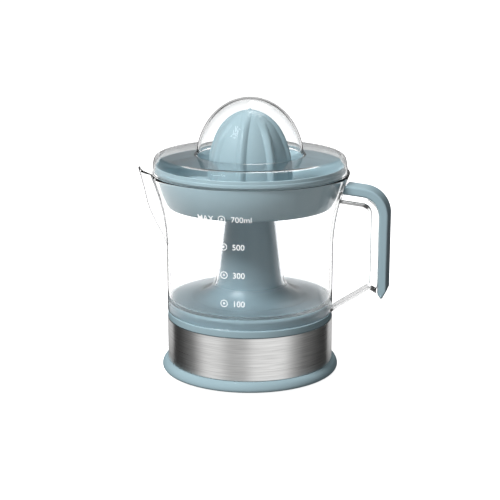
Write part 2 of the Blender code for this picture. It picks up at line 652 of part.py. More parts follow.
def make_press_pieces():
    empty = axis_empty("press_axis", (0, 0, 0))
    cavity = CUP_CAVITY
    top = CUP_FLOOR + CUP_HEIGHT
    outline = [(0, CUP_FLOOR), (CUP_RADIUS, CUP_FLOOR), (CUP_RADIUS, top), (cavity, top)]
    outline += [(cavity, CUP_FLOOR + 1.5 * MM), (0, CUP_FLOOR + 1.5 * MM)]
    turned("thrust_cup", outline, acetal, 24, parent=empty)

    neck = PLUNGER_RADIUS + 0.9 * MM
    flange_base = PLATE_TOP + CLEARANCE
    flange_top = flange_base + 0.9 * MM
    outline = [
        (neck, GUIDE_FLOOR),
        (GUIDE_RADIUS, GUIDE_FLOOR),
        (GUIDE_RADIUS, flange_base),
        (GUIDE_RADIUS + 2.4 * MM, flange_base),
        (GUIDE_RADIUS + 2.4 * MM, flange_top),
        (GUIDE_BORE, flange_top),
        (GUIDE_BORE, GUIDE_FLOOR + 1.5 * MM),
        (neck, GUIDE_FLOOR + 1.5 * MM),
    ]
    turned("spindle_guide", outline, dark_plastic, 24)
    make_return_spring(GUIDE_FLOOR + 1.5 * MM + CLEARANCE, CUP_FLOOR - CLEARANCE)


def make_return_spring(low, high):
    """A wire helix between the guide's floor and the thrust cup."""
    steps_per_turn, sides = 10, 5
    total = steps_per_turn * SPRING_TURNS
    start, end = low + SPRING_WIRE, high - SPRING_WIRE
    mesh = bmesh.new()
    rings = []
    for step in range(total + 1):
        angle = 2 * math.pi * step / steps_per_turn
        height = start + (end - start) * step / total
        ring = []
        for side in range(sides):
            turn = 2 * math.pi * side / sides
            radius = SPRING_RADIUS + SPRING_WIRE * math.cos(turn)
            lift = height + SPRING_WIRE * math.sin(turn)
            ring.append(mesh.verts.new((radius * math.cos(angle), radius * math.sin(angle), lift)))
        rings.append(ring)
    for ring, following in zip(rings, rings[1:]):
        for side in range(sides):
            other = (side + 1) % sides
            mesh.faces.new([ring[side], ring[other], following[other], following[side]])
    mesh.faces.new(rings[0])
    mesh.faces.new(rings[-1])
    put("return_spring", mesh, steel)


def make_switch():
    low = PAD_HEIGHT + COVER_PLATE_THICKNESS + CLEARANCE
    top = GUIDE_FLOOR - 0.5 * MM
    body = prism("start_switch", rectangle(-5 * MM, 5 * MM, -10 * MM, 10 * MM), low, top, black_plastic)
    bore = PLUNGER_RADIUS + 0.4 * MM
    combine(body, rods("switch_bore", [(0, 0)], bore, low + 2 * MM, top + MM), "DIFFERENCE")
    empty = axis_empty("switch_axis", (0, 0, 0))
    foot = low + 2 * MM + PRESS_TRAVEL + MM
    tip = CUP_FLOOR - CLEARANCE
    outline = [(0, foot), (PLUNGER_RADIUS, foot), (PLUNGER_RADIUS, tip - 0.4 * MM)]
    outline += [(0.7 * PLUNGER_RADIUS, tip), (0, tip)]
    turned("switch_plunger", outline, red_plastic, 12, parent=empty)


# ---------------------------------------------------------------- motor


def stator_screw_places():
    offset = (STACK_HALF_WIDTH + STATOR_BORE) / 2
    return [(-offset, ROTOR_AXIS[1]), (offset, ROTOR_AXIS[1])]


def make_stator():
    """U-shaped lamination stack: a yoke, two legs and two pole shoes round the rotor."""
    bore = STATOR_BORE
    half_gap = 1.5 * MM
    inner = STACK_HALF_WIDTH - STACK_LEG
    shoe_angles = [84 - 24 * step for step in range(8)]
    right = [(STACK_HALF_WIDTH, STACK_BACK), (STACK_HALF_WIDTH, STACK_FRONT), (half_gap, STACK_FRONT)]
    for angle in shoe_angles:
        turn = math.radians(angle)
        right.append((bore * math.cos(turn), ROTOR_AXIS[1] + bore * math.sin(turn)))
    right += [(half_gap, POLE_SHOE_START), (inner, POLE_SHOE_START), (inner, STACK_BACK + STACK_LEG)]
    outline = right + [(-x, y) for x, y in reversed(right)]
    top = STACK_BASE + STACK_HEIGHT
    stator = prism("motor_stator", outline, STACK_BASE, top, lamination)
    holes = rods("stator_holes", stator_screw_places(), SCREW_RADIUS + CLEARANCE, STACK_BASE - MM, top + MM)
    combine(stator, holes, "DIFFERENCE")


def make_coils():
    leg_middle = STACK_HALF_WIDTH - STACK_LEG / 2
    low, high = STACK_BASE, STACK_BASE + STACK_HEIGHT
    for side, word in ((-1, "left"), (1, "right")):
        middle = side * leg_middle

        def sleeve(gap, thickness, back, length, name, material):
            """A rectangular tube round one leg of the stack."""
            half = STACK_LEG / 2 + gap
            outer = rectangle(middle - half - thickness, middle + half + thickness, low - gap - thickness, high + gap + thickness)
            inner = rectangle(middle - half, middle + half, low - gap, high + gap)
            tube = prism(name, outer, back, back + length, material, "XZ")
            hole = prism(name + "_hole", inner, back - MM, back + length + MM, helper_finish, "XZ")
            combine(tube, hidden(hole), "DIFFERENCE")

        sleeve(CLEARANCE, BOBBIN_WALL, COIL_BACK - MM, COIL_LENGTH + 2 * MM, f"coil_bobbin_{word}", nylon)
        gap = 2 * CLEARANCE + BOBBIN_WALL
        sleeve(gap, WINDING_THICKNESS, COIL_BACK, COIL_LENGTH, f"motor_coil_{word}", copper)


def make_rotor():
    empty = axis_empty("rotor_axis", (*ROTOR_AXIS, 0))
    low = STACK_BASE + (STACK_HEIGHT - ROTOR_LENGTH) / 2
    bore = PIN_RADIUS + CLEARANCE
    outline = [(bore, low), (ROTOR_RADIUS, low), (ROTOR_RADIUS, low + ROTOR_LENGTH), (bore, low + ROTOR_LENGTH)]
    turned("rotor_magnet", outline, ferrite, 24, parent=empty)
    shaft_top = LOWER_GEARS + GEAR_THICKNESS + CLEARANCE
    shaft_low = rotor_bridge_base() - CLEARANCE
    outline = [(0, shaft_low), (PIN_RADIUS, shaft_low), (PIN_RADIUS, shaft_top), (0, shaft_top)]
    turned("rotor_shaft", outline, steel, 12, parent=empty)
    phase = direction(ROTOR_AXIS, IDLER_AXIS)
    top = LOWER_GEARS + GEAR_THICKNESS
    teeth = gear_outline(PINION_TEETH, phase)
    pinion = prism("rotor_pinion", teeth, LOWER_GEARS, top, nylon, parent=empty)
    hole = rods("pinion_bore", [(0, 0)], bore, LOWER_GEARS - MM, top + MM)
    hole.parent = empty
    combine(pinion, hole, "DIFFERENCE")


def rotor_bridge_base():
    rotor_low = STACK_BASE + (STACK_HEIGHT - ROTOR_LENGTH) / 2
    return rotor_low - 2 * CLEARANCE - 2 * MM


def make_motor_fixings():
    """The bridge that holds the rotor's lower end, with its two screws and spacers."""
    low = rotor_bridge_base()
    half, depth = STACK_HALF_WIDTH - MM, 5 * MM
    y = ROTOR_AXIS[1]
    bridge = prism("rotor_bridge", rectangle(-half, half, y - depth, y + depth), low, low + 2 * MM, nylon)
    holes = stator_screw_places()
    combine(bridge, rods("bridge_holes", holes, SCREW_RADIUS + CLEARANCE, low - MM, low + 3 * MM), "DIFFERENCE")
    combine(bridge, rods("bridge_bore", [ROTOR_AXIS], PIN_RADIUS + CLEARANCE, low - MM, low + 3 * MM), "DIFFERENCE")
    screw = screw_outline(low - CLEARANCE, PLATE_TOP - low - MM)
    bore = SCREW_RADIUS + CLEARANCE
    spacer_low = STACK_BASE + STACK_HEIGHT + CLEARANCE
    spacer_top = GEAR_PLATE_HEIGHT - CLEARANCE
    spacer = [(bore, spacer_low), (bore + 1.4 * MM, spacer_low), (bore + 1.4 * MM, spacer_top), (bore, spacer_top)]
    for number, (x, y) in enumerate(holes, 1):
        turned(f"stator_screw_{number}", screw, steel, 10, (x, y, 0))
        turned(f"stator_spacer_{number}", spacer, brass, 12, (x, y, 0))


# ---------------------------------------------------------------- jug and handle


def jug_wall_radius(height):
    if height <= JUG_FLARE_START:
        return JUG_RADIUS
    rise = (height - JUG_FLARE_START) / (JUG_TOP - JUG_FLARE_START)
    return JUG_RADIUS + JUG_FLARE * rise**JUG_FLARE_POWER


def spout_push(height, angle):
    """How far the V-shaped spout stands out of the round wall, at -X."""
    if height <= SPOUT_START:
        return 0.0
    rise = (height - SPOUT_START) / (JUG_TOP - SPOUT_START)
    depth = SPOUT_REACH * math.sin(math.pi / 2 * min(1.0, 1.75 * rise)) ** 0.75 - 2.2 * MM * rise**3
    off_axis = abs(math.degrees(angle) - 180) / SPOUT_HALF_ANGLE
    return depth * max(0.0, 1 - off_axis) ** 1.2


def jug_ring(height, inset=0.0):
    def radius(angle):
        return jug_wall_radius(height) + spout_push(height, angle) - inset

    return (radius, height)


def make_jug():
    heights = [JUG_FLARE_START]
    heights += [JUG_FLARE_START + share * (JUG_TOP - JUG_FLARE_START) for share in (0.1, 0.24, 0.42, 0.62, 0.82, 1)]
    skirt = JUG_RADIUS - JUG_WALL
    floor_top = JUG_FLOOR + JUG_FLOOR_THICKNESS
    outline = [(skirt, JUG_BASE), (JUG_RADIUS - 0.7 * MM, JUG_BASE), (JUG_RADIUS, JUG_BASE + MM)]
    outline += [jug_ring(height) for height in heights]
    outline += [jug_ring(height, JUG_WALL) for height in reversed(heights)]
    outline += [(skirt, floor_top + 2 * MM), (skirt - 2 * MM, floor_top)]
    outside = SLEEVE_GAP + SLEEVE_WALL
    flare = flare_heights(DECK_HEIGHT, 4)
    outline += [(column_radius(height) + outside, height + JUG_FLOOR_GAP + JUG_FLOOR_THICKNESS) for height in flare]
    outline += [(column_radius(SLEEVE_TOP) + outside, SLEEVE_TOP), (column_radius(SLEEVE_TOP) + SLEEVE_GAP, SLEEVE_TOP)]
    outline += [(column_radius(height) + SLEEVE_GAP, height + JUG_FLOOR_GAP) for height in reversed(flare)]
    outline += [(skirt, JUG_FLOOR)]
    turned("jug", outline, clear_plastic, parent=jug_axis)


def handle_line(offset, start):
    """The handle's outline, `offset` outside the grip's inner face, from `start` to the bend's end."""
    slope = math.radians(HANDLE_SLOPE)
    radius = HANDLE_BEND_RADIUS + offset
    first = math.pi / 2 - slope
    touch = (BEND_REACH + radius * math.cos(first), HANDLE_BEND_HEIGHT + radius * math.sin(first))
    points = [(start, touch[1] + (touch[0] - start) * math.tan(slope))]
    for step in range(7):
        angle = first * (1 - step / 6)
        points.append((BEND_REACH + radius * math.cos(angle), HANDLE_BEND_HEIGHT + radius * math.sin(angle)))
    return points


def wall_start(offset, clearance):
    """Where a handle line at this offset meets the jug's wall."""
    start = JUG_RADIUS
    for _ in range(6):
        start = jug_wall_radius(handle_line(offset, start)[0][1]) + clearance
    return start


def make_strap():
    outer_offset = -CLEARANCE
    inner_offset = outer_offset - STRAP_DEPTH
    outer = handle_line(outer_offset, wall_start(outer_offset, 0.4 * MM))
    inner = handle_line(inner_offset, wall_start(inner_offset, 0.4 * MM))
    inner_reach = STRAP_REACH - STRAP_DEPTH
    rise = math.tan(math.radians(STRUT_SLOPE))
    half = STRUT_THICKNESS / 2 / math.cos(math.radians(STRUT_SLOPE))
    wall = JUG_RADIUS + 0.4 * MM
    joint_height = HANDLE_END + 3.8 * MM

    def strut_height(reach, side):
        return joint_height + (reach - inner_reach) * rise + side * half

    outline = outer + [(STRAP_REACH, HANDLE_END)]
    outline += [(reach, strut_height(reach, -1)) for reach in (inner_reach + 1.3 * MM, wall)]
    outline += [(reach, strut_height(reach, 1)) for reach in (wall, inner_reach)]
    outline += list(reversed(inner))
    half_width = STRAP_WIDTH / 2
    strap = prism("handle_strap", outline, -half_width, half_width, clear_plastic, "XZ", parent=jug_axis)
    soften(strap, 0.6 * MM)


def make_grip():
    outer = handle_line(GRIP_THICKNESS, wall_start(GRIP_THICKNESS, 0.6 * MM))
    inner = handle_line(0, wall_start(0, 0.6 * MM))
    reach = GRIP_REACH + GRIP_THICKNESS
    tip = (GRIP_REACH + 2.9 * MM, HANDLE_END - 4.1 * MM)
    outline = outer + [(reach, HANDLE_END + 2.8 * MM), tip, (GRIP_REACH, HANDLE_END - 0.2 * MM)]
    outline += list(reversed(inner))
    half_width = GRIP_WIDTH / 2
    grip = prism("handle_grip", outline, -half_width, half_width, blue_grey, "XZ", parent=jug_axis)
    soften(grip, 1.0 * MM)


# ---------------------------------------------------------------- bowl, strainer, cone, cover


def bowl_wall_radius(height):
    """Outer radius of the bowl's bulging wall."""
    rise = (height - BOWL_FLOOR) / (BOWL_RIM_BASE - BOWL_FLOOR)
    return BOWL_FLOOR_RADIUS + (BOWL_WALL_TOP_RADIUS - BOWL_FLOOR_RADIUS) * math.sin(math.pi / 2 * rise) ** 0.9


def bowl_hub_bore():
    return column_radius(BOWL_FLOOR) + SLEEVE_GAP + SLEEVE_WALL + BOWL_HUB_PLAY


def make_bowl():
    levels = [BOWL_FLOOR + share * (BOWL_RIM_BASE - BOWL_FLOOR) for share in (0.06, 0.3, 0.65, 1)]
    hub_bore = bowl_hub_bore()
    hub_radius = hub_bore + BOWL_HUB_WALL
    seat_bore = column_radius(SLEEVE_TOP) + 0.9 * MM
    spindle_bore = HEX_CORNER + 1.2 * MM
    rim_top = BOWL_RIM_BASE + BOWL_RIM_HEIGHT
    inner_rim = BOWL_RIM_RADIUS - BOWL_WALL
    outline = [(hub_bore, BOWL_FLOOR), (BOWL_FLOOR_RADIUS - 2 * MM, BOWL_FLOOR)]
    outline += [(bowl_wall_radius(level), level) for level in levels]
    outline += [(BOWL_RIM_RADIUS, BOWL_RIM_BASE), (BOWL_RIM_RADIUS - 0.2 * MM, rim_top - 0.8 * MM)]
    outline += [(BOWL_RIM_RADIUS - 0.7 * MM, rim_top), (inner_rim, rim_top)]
    outline += [(bowl_wall_radius(level) - BOWL_WALL, level) for level in reversed(levels[1:])]
    outline += [(bowl_wall_radius(levels[0]) - BOWL_WALL - MM, BOWL_FLOOR + BOWL_WALL)]
    outline += [(hub_radius, BOWL_FLOOR + BOWL_WALL), (hub_radius, BOWL_HUB_TOP), (spindle_bore, BOWL_HUB_TOP)]
    outline += [(spindle_bore, BOWL_HUB_TOP - 2 * MM), (seat_bore, BOWL_HUB_TOP - 2 * MM)]
    outline += [(seat_bore, SLEEVE_TOP + CLEARANCE), (hub_bore, SLEEVE_TOP + CLEARANCE)]
    bowl = turned("juice_bowl", outline, blue_grey, parent=bowl_axis)
    drains = circle_places(hub_radius + 7 * MM, (0, 90, 180, 270))
    holes = rods("drain_holes", drains, 4 * MM, BOWL_FLOOR - MM, BOWL_FLOOR + BOWL_WALL + MM)
    combine(bowl, holes, "DIFFERENCE")


def make_strainer():
    cap_bore = bowl_hub_bore() + BOWL_HUB_WALL + 0.6 * MM
    cap_radius = cap_bore + STRAINER_THICKNESS
    edge = bowl_wall_radius(STRAINER_LEVEL) - BOWL_WALL - STRAINER_PLAY
    slot_start = CONE_RADIUS + RIB_HEIGHT + SLOT_INNER_GAP
    slot_end = edge - SLOT_OUTER_MARGIN
    level_top = STRAINER_LEVEL + STRAINER_THICKNESS
    cap_top = STRAINER_CAP + STRAINER_THICKNESS
    collar_bore = HUB_RADIUS + 0.4 * MM
    outline = [
        (collar_bore, STRAINER_CAP),
        (cap_bore, STRAINER_CAP),
        (cap_bore, STRAINER_LEVEL),
        (edge, STRAINER_LEVEL),
        (edge, level_top),
        (cap_radius, level_top),
        (cap_radius, cap_top),
        (collar_bore + 2 * MM, cap_top),
        (collar_bore + 2 * MM, COLLAR_TOP),
        (collar_bore, COLLAR_TOP),
    ]
    strainer = turned("pulp_strainer", outline, blue_grey, parent=strainer_axis)
    mesh = bmesh.new()
    for slot in range(STRAINER_SLOTS):
        angle = 2 * math.pi * (slot + 0.5) / STRAINER_SLOTS
        along = (math.cos(angle), math.sin(angle))
        half = SLOT_WIDTH / 2
        corners = ((slot_start, -half), (slot_end, -half), (slot_end, half), (slot_start, half))
        shape = [(r * along[0] - s * along[1], r * along[1] + s * along[0]) for r, s in corners]
        add_prism(mesh, shape, STRAINER_LEVEL - MM, level_top + MM)
    combine(strainer, hidden(put("strainer_slots", mesh, helper_finish)), "DIFFERENCE")


def make_drive_hub():
    """Turns in the strainer's collar; the spindle's hexagon drives it, and it drives the cone."""
    bore = hexagon(HEX_HOLE)
    outer = hexagon(HUB_HEX_ACROSS)
    flange_radius = HUB_RADIUS + 2.2 * MM
    outline = [
        (bore, HUB_BASE),
        (HUB_RADIUS, HUB_BASE),
        (HUB_RADIUS, COLLAR_TOP + CLEARANCE),
        (flange_radius, COLLAR_TOP + CLEARANCE),
        (flange_radius, HUB_SHOULDER),
        (outer, HUB_SHOULDER),
        (outer, HUB_TOP),
        (bore, HUB_TOP),
    ]
    turned("drive_hub", outline, acetal, 24, parent=axis_empty("hub_axis", (0, 0, 0)))


def cone_body(height):
    """Radius of the cone between its ribs."""
    start = CONE_BASE + 2.5 * MM
    if height <= start:
        return CONE_RADIUS
    rise = (height - start) / (CONE_TOP - MM - start)
    return CONE_RADIUS * math.sqrt(max(0.0, 1 - rise**2.05))


def rib_profile(angle, height):
    """Eight ribs, 45 degrees apart: the long ones reach the top, the short ones stop below it."""
    sector = math.radians(45)
    number = round(angle / sector)
    off = abs(angle - number * sector) * max(cone_body(height), 4 * MM)
    width = 5.0 * MM
    crest = max(0.0, 1 - off / width)
    fade_top = CONE_TOP if number % 2 == 0 else CONE_TOP - 8 * MM
    fade = min(1.0, max(0.0, (fade_top - height) / (12 * MM)))
    return RIB_HEIGHT * crest * fade**0.5


def cone_ring(height):
    def radius(angle):
        return cone_body(height) + rib_profile(angle, height)

    return (radius, height)


def make_cone():
    shares = (0, 0.16, 0.32, 0.47, 0.61, 0.73, 0.83, 0.91, 0.965)
    heights = [CONE_BASE + share * (CONE_TOP - CONE_BASE) for share in shares]
    bore = hexagon(HUB_HEX_ACROSS + MM)
    boss = HUB_HEX_ACROSS / 2 / math.cos(math.radians(30)) + 3.6 * MM
    boss_base = HUB_SHOULDER + PRESS_TRAVEL + 0.5 * MM
    seat = SPINDLE_TOP + 0.4 * MM
    outline = [cone_ring(height) for height in heights] + [(0, CONE_TOP), (0, seat)]
    outline += [(bore, seat), (bore, boss_base), (boss, boss_base), (boss, seat + 2 * MM)]
    inside = [height for height in reversed(heights) if height < seat + 3 * MM]
    outline += [(cone_body(height) - CONE_WALL, height) for height in inside]
    cone = turned("reamer_cone", outline, blue_grey, CONE_STEPS, parent=cone_axis)
    return cone


def make_dust_cover():
    """Skirt, shoulder, flat ring and dome of one even wall."""

    def dome_radius(height, inset):
        rise = (height - DOME_CENTER) / (DOME_TOP - inset - DOME_CENTER)
        return (DOME_RADIUS - inset) * math.sqrt(max(0.0, 1 - rise**2))

    def shell(inset):
        top = COVER_SHOULDER - inset
        points = [(COVER_RADIUS - inset, COVER_BASE), (COVER_SHOULDER_RADIUS - inset, top - 1.8 * MM)]
        points += [(COVER_SHOULDER_RADIUS - 1.6 * MM - inset, top), (DOME_RADIUS + 2 * MM - inset, top)]
        for share in (0.16, 0.36, 0.55, 0.73, 0.87, 0.965):
            height = DOME_CENTER + share * (DOME_TOP - inset - DOME_CENTER)
            points.append((dome_radius(height, inset), height))
        return points + [(0, DOME_TOP - inset)]

    outline = shell(0) + list(reversed(shell(COVER_WALL)))
    turned("dust_cover", outline, clear_plastic, parent=cover_axis)


clear_scene()

blue_grey = finish("blue_grey_plastic", (0.32, 0.46, 0.51), 0.38)
clear_plastic = finish("clear_plastic", (0.96, 0.98, 0.98), 0.06, transmission=0.9)
brushed_steel = finish("brushed_steel", (0.62, 0.62, 0.61), 0.32, metallic=1.0)
dark_plastic = finish("dark_plastic", (0.10, 0.11, 0.12), 0.55)
black_plastic = finish("black_plastic", (0.03, 0.03, 0.03), 0.45)
red_plastic = finish("red_plastic", (0.55, 0.05, 0.04), 0.45)
rubber = finish("black_rubber", (0.025, 0.025, 0.025), 0.8)
steel = finish("plain_steel", (0.55, 0.55, 0.56), 0.3, metallic=1.0)
zinc_steel = finish("zinc_plated_steel", (0.58, 0.60, 0.62), 0.4, metallic=1.0)
bronze = finish("sintered_bronze", (0.45, 0.28, 0.12), 0.5, metallic=1.0)
brass = finish("brass", (0.70, 0.52, 0.20), 0.35, metallic=1.0)
acetal = finish("white_acetal", (0.80, 0.80, 0.77), 0.4)
nylon = finish("natural_nylon", (0.72, 0.70, 0.62), 0.45)
copper = finish("enamelled_copper", (0.55, 0.20, 0.08), 0.35, metallic=1.0)
lamination = finish("silicon_steel", (0.30, 0.31, 0.33), 0.5, metallic=1.0)
ferrite = finish("ferrite_magnet", (0.06, 0.06, 0.065), 0.6)
helper_finish = finish("helper", (0.8, 0.2, 0.8), 0.5)

jug_axis = axis_empty("jug_axis", (0, 0, 0))
bowl_axis = axis_empty("bowl_axis", (0, 0, 0), jug_axis)
strainer_axis = axis_empty("strainer_axis", (0, 0, 0), bowl_axis)
cone_axis = axis_empty("cone_axis", (0, 0, 0), strainer_axis)
cover_axis = axis_empty("cover_axis", (0, 0, 0), strainer_axis)

make_foot_ring()
make_bottom_cover()
make_rubber_feet()
make_cover_screws()
make_steel_band()
make_cord_inlet()
make_motor_housing()
make_column_bearing()
make_gear_plate()
make_idler()
make_output_gear()
make_spindle()
make_press_pieces()
make_switch()
make_stator()
make_coils()
make_rotor()
make_motor_fixings()
make_jug()
make_strap()
make_grip()
make_bowl()
make_strainer()
make_drive_hub()
make_cone()
make_dust_cover()
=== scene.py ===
"""Citrus press juicer: the finished look of the assembly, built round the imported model.

Metres, +Z up, on the drive spindle's axis. +X is the handle's side, -X the spout's side.
"""

import math

import bmesh
import bpy
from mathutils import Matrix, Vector


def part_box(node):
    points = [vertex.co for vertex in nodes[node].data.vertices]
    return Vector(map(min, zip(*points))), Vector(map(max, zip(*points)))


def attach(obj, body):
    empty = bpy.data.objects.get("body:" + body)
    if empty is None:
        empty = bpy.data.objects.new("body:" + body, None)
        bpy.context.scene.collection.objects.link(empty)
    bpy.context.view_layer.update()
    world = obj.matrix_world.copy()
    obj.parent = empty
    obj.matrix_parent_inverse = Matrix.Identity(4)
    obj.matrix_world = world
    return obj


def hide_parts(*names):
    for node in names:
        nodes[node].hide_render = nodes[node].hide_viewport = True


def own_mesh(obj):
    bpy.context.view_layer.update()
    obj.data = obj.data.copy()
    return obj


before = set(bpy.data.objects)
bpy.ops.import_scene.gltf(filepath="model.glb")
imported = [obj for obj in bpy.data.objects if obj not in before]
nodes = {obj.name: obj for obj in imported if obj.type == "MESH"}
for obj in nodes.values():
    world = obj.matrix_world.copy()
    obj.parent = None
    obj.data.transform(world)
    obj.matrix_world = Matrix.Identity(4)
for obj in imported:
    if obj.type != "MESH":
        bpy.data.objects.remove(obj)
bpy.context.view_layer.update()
mm = 0.001


# ------------------------------------------------------------------ table, light and camera
# The juicer stands on a white table in a pale room. A broad soft light stands at the front left and
# a weaker one behind. The room's dark side walls give the steel its edges; the clear plastic's dark edges
# come partly from them and partly from painted shade in its colour.

front_angle = math.radians(-77)
table_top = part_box("rubber_foot_1")[0].z


def set_inputs(tree, node, inputs):
    """Gives each of these inputs of a shading node its plain value or another node's output."""
    for name, given in inputs.items():
        if isinstance(given, bpy.types.NodeSocket):
            tree.links.new(given, node.inputs[name])
        else:
            node.inputs[name].default_value = given


def add_node(tree, kind, inputs, **settings):
    """Adds a shading node with these inputs and settings."""
    made = tree.nodes.new(kind)
    for name, setting in settings.items():
        setattr(made, name, setting)
    set_inputs(tree, made, inputs)
    return made


def add_ramp(tree, share, *stops):
    """Adds a colour ramp with these (position, colour) stops, in rising order, and returns its colour."""
    made = add_node(tree, "ShaderNodeValToRGB", {"Fac": share})
    elements = made.color_ramp.elements
    while len(elements) < len(stops):
        elements.new(0.5)
    for element, (position, colour) in zip(elements, stops):
        element.position = position
        element.color = (*colour, 1)
    return made.outputs["Color"]


world = bpy.data.worlds.new("white_room")
world.use_nodes = True
bpy.context.scene.world = world
sky = world.node_tree
sky_spot = add_node(sky, "ShaderNodeTexCoord", {}).outputs["Generated"]
sky_turn = {"Vector": sky_spot, "Angle": -front_angle}
sky_turned = add_node(sky, "ShaderNodeVectorRotate", sky_turn, rotation_type="Z_AXIS")
sky_parts = add_node(sky, "ShaderNodeSeparateXYZ", {"Vector": sky_turned.outputs["Vector"]}).outputs
sky_around = add_node(sky, "ShaderNodeMath", {0: sky_parts["Y"], 1: sky_parts["X"]}, operation="ARCTAN2")
half_turn = {"Value": sky_around.outputs["Value"], "From Min": -math.pi, "From Max": math.pi}
sky_share = add_node(sky, "ShaderNodeMapRange", half_turn)

# brightness of the room's walls by the direction from the front, in degrees to the right
wall_lights = (
    (-180, 0.45), (-173, 0.40), (-165, 0.04), (-112, 0.05), (-86, 0.22), (-64, 0.95),
    (-44, 0.90), (-28, 0.55), (-8, 0.60), (6, 1.0), (48, 1.0), (64, 0.45),
    (80, 0.18), (112, 0.05), (165, 0.04), (173, 0.40), (180, 0.45),
)
wall_stops = [((angle + 180) / 360, (level, level, level)) for angle, level in wall_lights]
sky_walls = add_ramp(sky, sky_share.outputs["Result"], *wall_stops)
upwards = {"Value": sky_parts["Z"], "From Min": 0.45, "From Max": 0.85}
sky_height = add_node(sky, "ShaderNodeMapRange", upwards).outputs["Result"]
ceiling = {0: sky_height, 6: sky_walls, 7: (0.5, 0.5, 0.5, 1)}
sky_room = add_node(sky, "ShaderNodeMix", ceiling, data_type="RGBA").outputs[2]

# straight ahead, and straight through clear plastic, the room is one even white
sky_path = add_node(sky, "ShaderNodeLightPath", {}).outputs
level_view = {"Value": sky_parts["Z"], "From Min": 0.15, "From Max": 0.08}
sky_low = add_node(sky, "ShaderNodeMapRange", level_view).outputs["Result"]
through = {0: sky_low, 1: sky_path["Is Transmission Ray"]}
sky_clear = add_node(sky, "ShaderNodeMath", through, operation="MULTIPLY").outputs["Value"]
backdrop = {0: sky_clear, 1: sky_path["Is Camera Ray"]}
sky_backdrop = add_node(sky, "ShaderNodeMath", backdrop, operation="MAXIMUM").outputs["Value"]
backdrop_white = {0: sky_backdrop, 6: sky_room, 7: (1.08, 1.08, 1.08, 1)}
sky_seen = add_node(sky, "ShaderNodeMix", backdrop_white, data_type="RGBA").outputs[2]
softened = {"Value": sky_path["Is Diffuse Ray"], "To Min": 0.95, "To Max": 0.34}
sky_strength = add_node(sky, "ShaderNodeMapRange", softened).outputs["Result"]
set_inputs(sky, sky.nodes["Background"], {"Color": sky_seen, "Strength": sky_strength})


def new_object(name, data):
    """Makes an object and puts it in the scene."""
    made = bpy.data.objects.new(name, data)
    bpy.context.scene.collection.objects.link(made)
    return made


def studio_light(name, angle, height, distance, width, power):
    """A soft panel light aimed at the juicer, `angle` degrees to the right of the front."""
    lamp = bpy.data.lights.new(name, "AREA")
    lamp.shape = "RECTANGLE"
    lamp.size = width
    lamp.size_y = width * 1.3
    lamp.energy = power
    holder = new_object(name, lamp)
    around = front_angle + math.radians(angle)
    holder.location = (distance * math.cos(around), distance * math.sin(around), height)
    aim = Vector((0, 0, 0.1)) - holder.location
    holder.rotation_euler = aim.to_track_quat("-Z", "Y").to_euler()
    holder.visible_glossy = False
    return holder


studio_light("main_light", -46, 1.12, 0.9, 0.35, 21)
studio_light("back_light", 165, 0.9, 0.6, 0.4, 3)


def new_finish(name, settings):
    """A new material with these settings on its shader, its node tree and the shader."""
    finish = bpy.data.materials.new(name)
    finish.use_nodes = True
    shader = finish.node_tree.nodes["Principled BSDF"]
    set_inputs(finish.node_tree, shader, settings)
    return finish, finish.node_tree, shader


bpy.ops.mesh.primitive_plane_add(size=24, location=(0, 0, table_top - 0.02 * mm))
table = bpy.context.object
table.name = "white_table"
table_white = new_finish(
    "white_table_top",
    {
        "Base Color": (0.93, 0.93, 0.93, 1),
        "Roughness": 0.9,
        "Specular IOR Level": 0.0,
        "Emission Color": (1, 1, 1, 1),
        "Emission Strength": 0.9,
    },
)[0]
table.data.materials.append(table_white)
table.visible_glossy = False
table.visible_diffuse = False

bpy.context.scene.view_settings.view_transform = "Standard"

camera_data = bpy.data.cameras.new("camera")
camera_data.lens = 95
camera_data.sensor_width = 36
camera = new_object("camera", camera_data)
camera_side = math.radians(13)
camera_distance, camera_height = 955.5 * mm, 332.6 * mm
camera.location = (
    camera_distance * math.sin(camera_side),
    -camera_distance * math.cos(camera_side),
    camera_height,
)
camera.rotation_euler = (math.radians(90 - 14.29), 0, camera_side)
bpy.context.scene.camera = camera


# ------------------------------------------------------------------ foot ring
# The flared ring round the base's lower edge, moulded in satin blue-grey plastic. The bottom cover
# holds it up against the housing, and the steel band stands on its inner lip.


def rounded(corners, cuts=4):
    """Rounds each corner (radius, height, reach) of a closed outline, up to `reach` away on both sides."""
    points = []
    for index, (x, y, reach) in enumerate(corners):
        here = Vector((x, y))
        if not reach:
            points.append((x, y))
            continue
        before = Vector(corners[index - 1][:2]) - here
        after = Vector(corners[(index + 1) % len(corners)][:2]) - here
        start = here + before.normalized() * min(reach, before.length / 2)
        end = here + after.normalized() * min(reach, after.length / 2)
        for cut in range(cuts + 1):
            share = cut / cuts
            spot = start * (1 - share) ** 2 + here * 2 * share * (1 - share) + end * share**2
            points.append((spot.x, spot.y))
    return points


sharp_from = math.radians(35)


def smooth_sides(data):
    """Shades a mesh smooth, and leaves its sharper edges crisp."""
    data.shade_smooth()
    data.set_sharp_from_angle(angle=sharp_from)


def finished(name, mesh, finish, body, *replaced):
    """Makes a closed mesh into a smooth piece that rides on a body and stands for CAD nodes."""
    bmesh.ops.remove_doubles(mesh, verts=mesh.verts[:], dist=0.001 * mm)
    bmesh.ops.recalc_face_normals(mesh, faces=mesh.faces[:])
    data = bpy.data.meshes.new(name)
    mesh.to_mesh(data)
    mesh.free()
    smooth_sides(data)
    data.materials.append(finish)
    piece = new_object(name, data)
    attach(piece, body)
    if replaced:
        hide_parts(*replaced)
    return piece


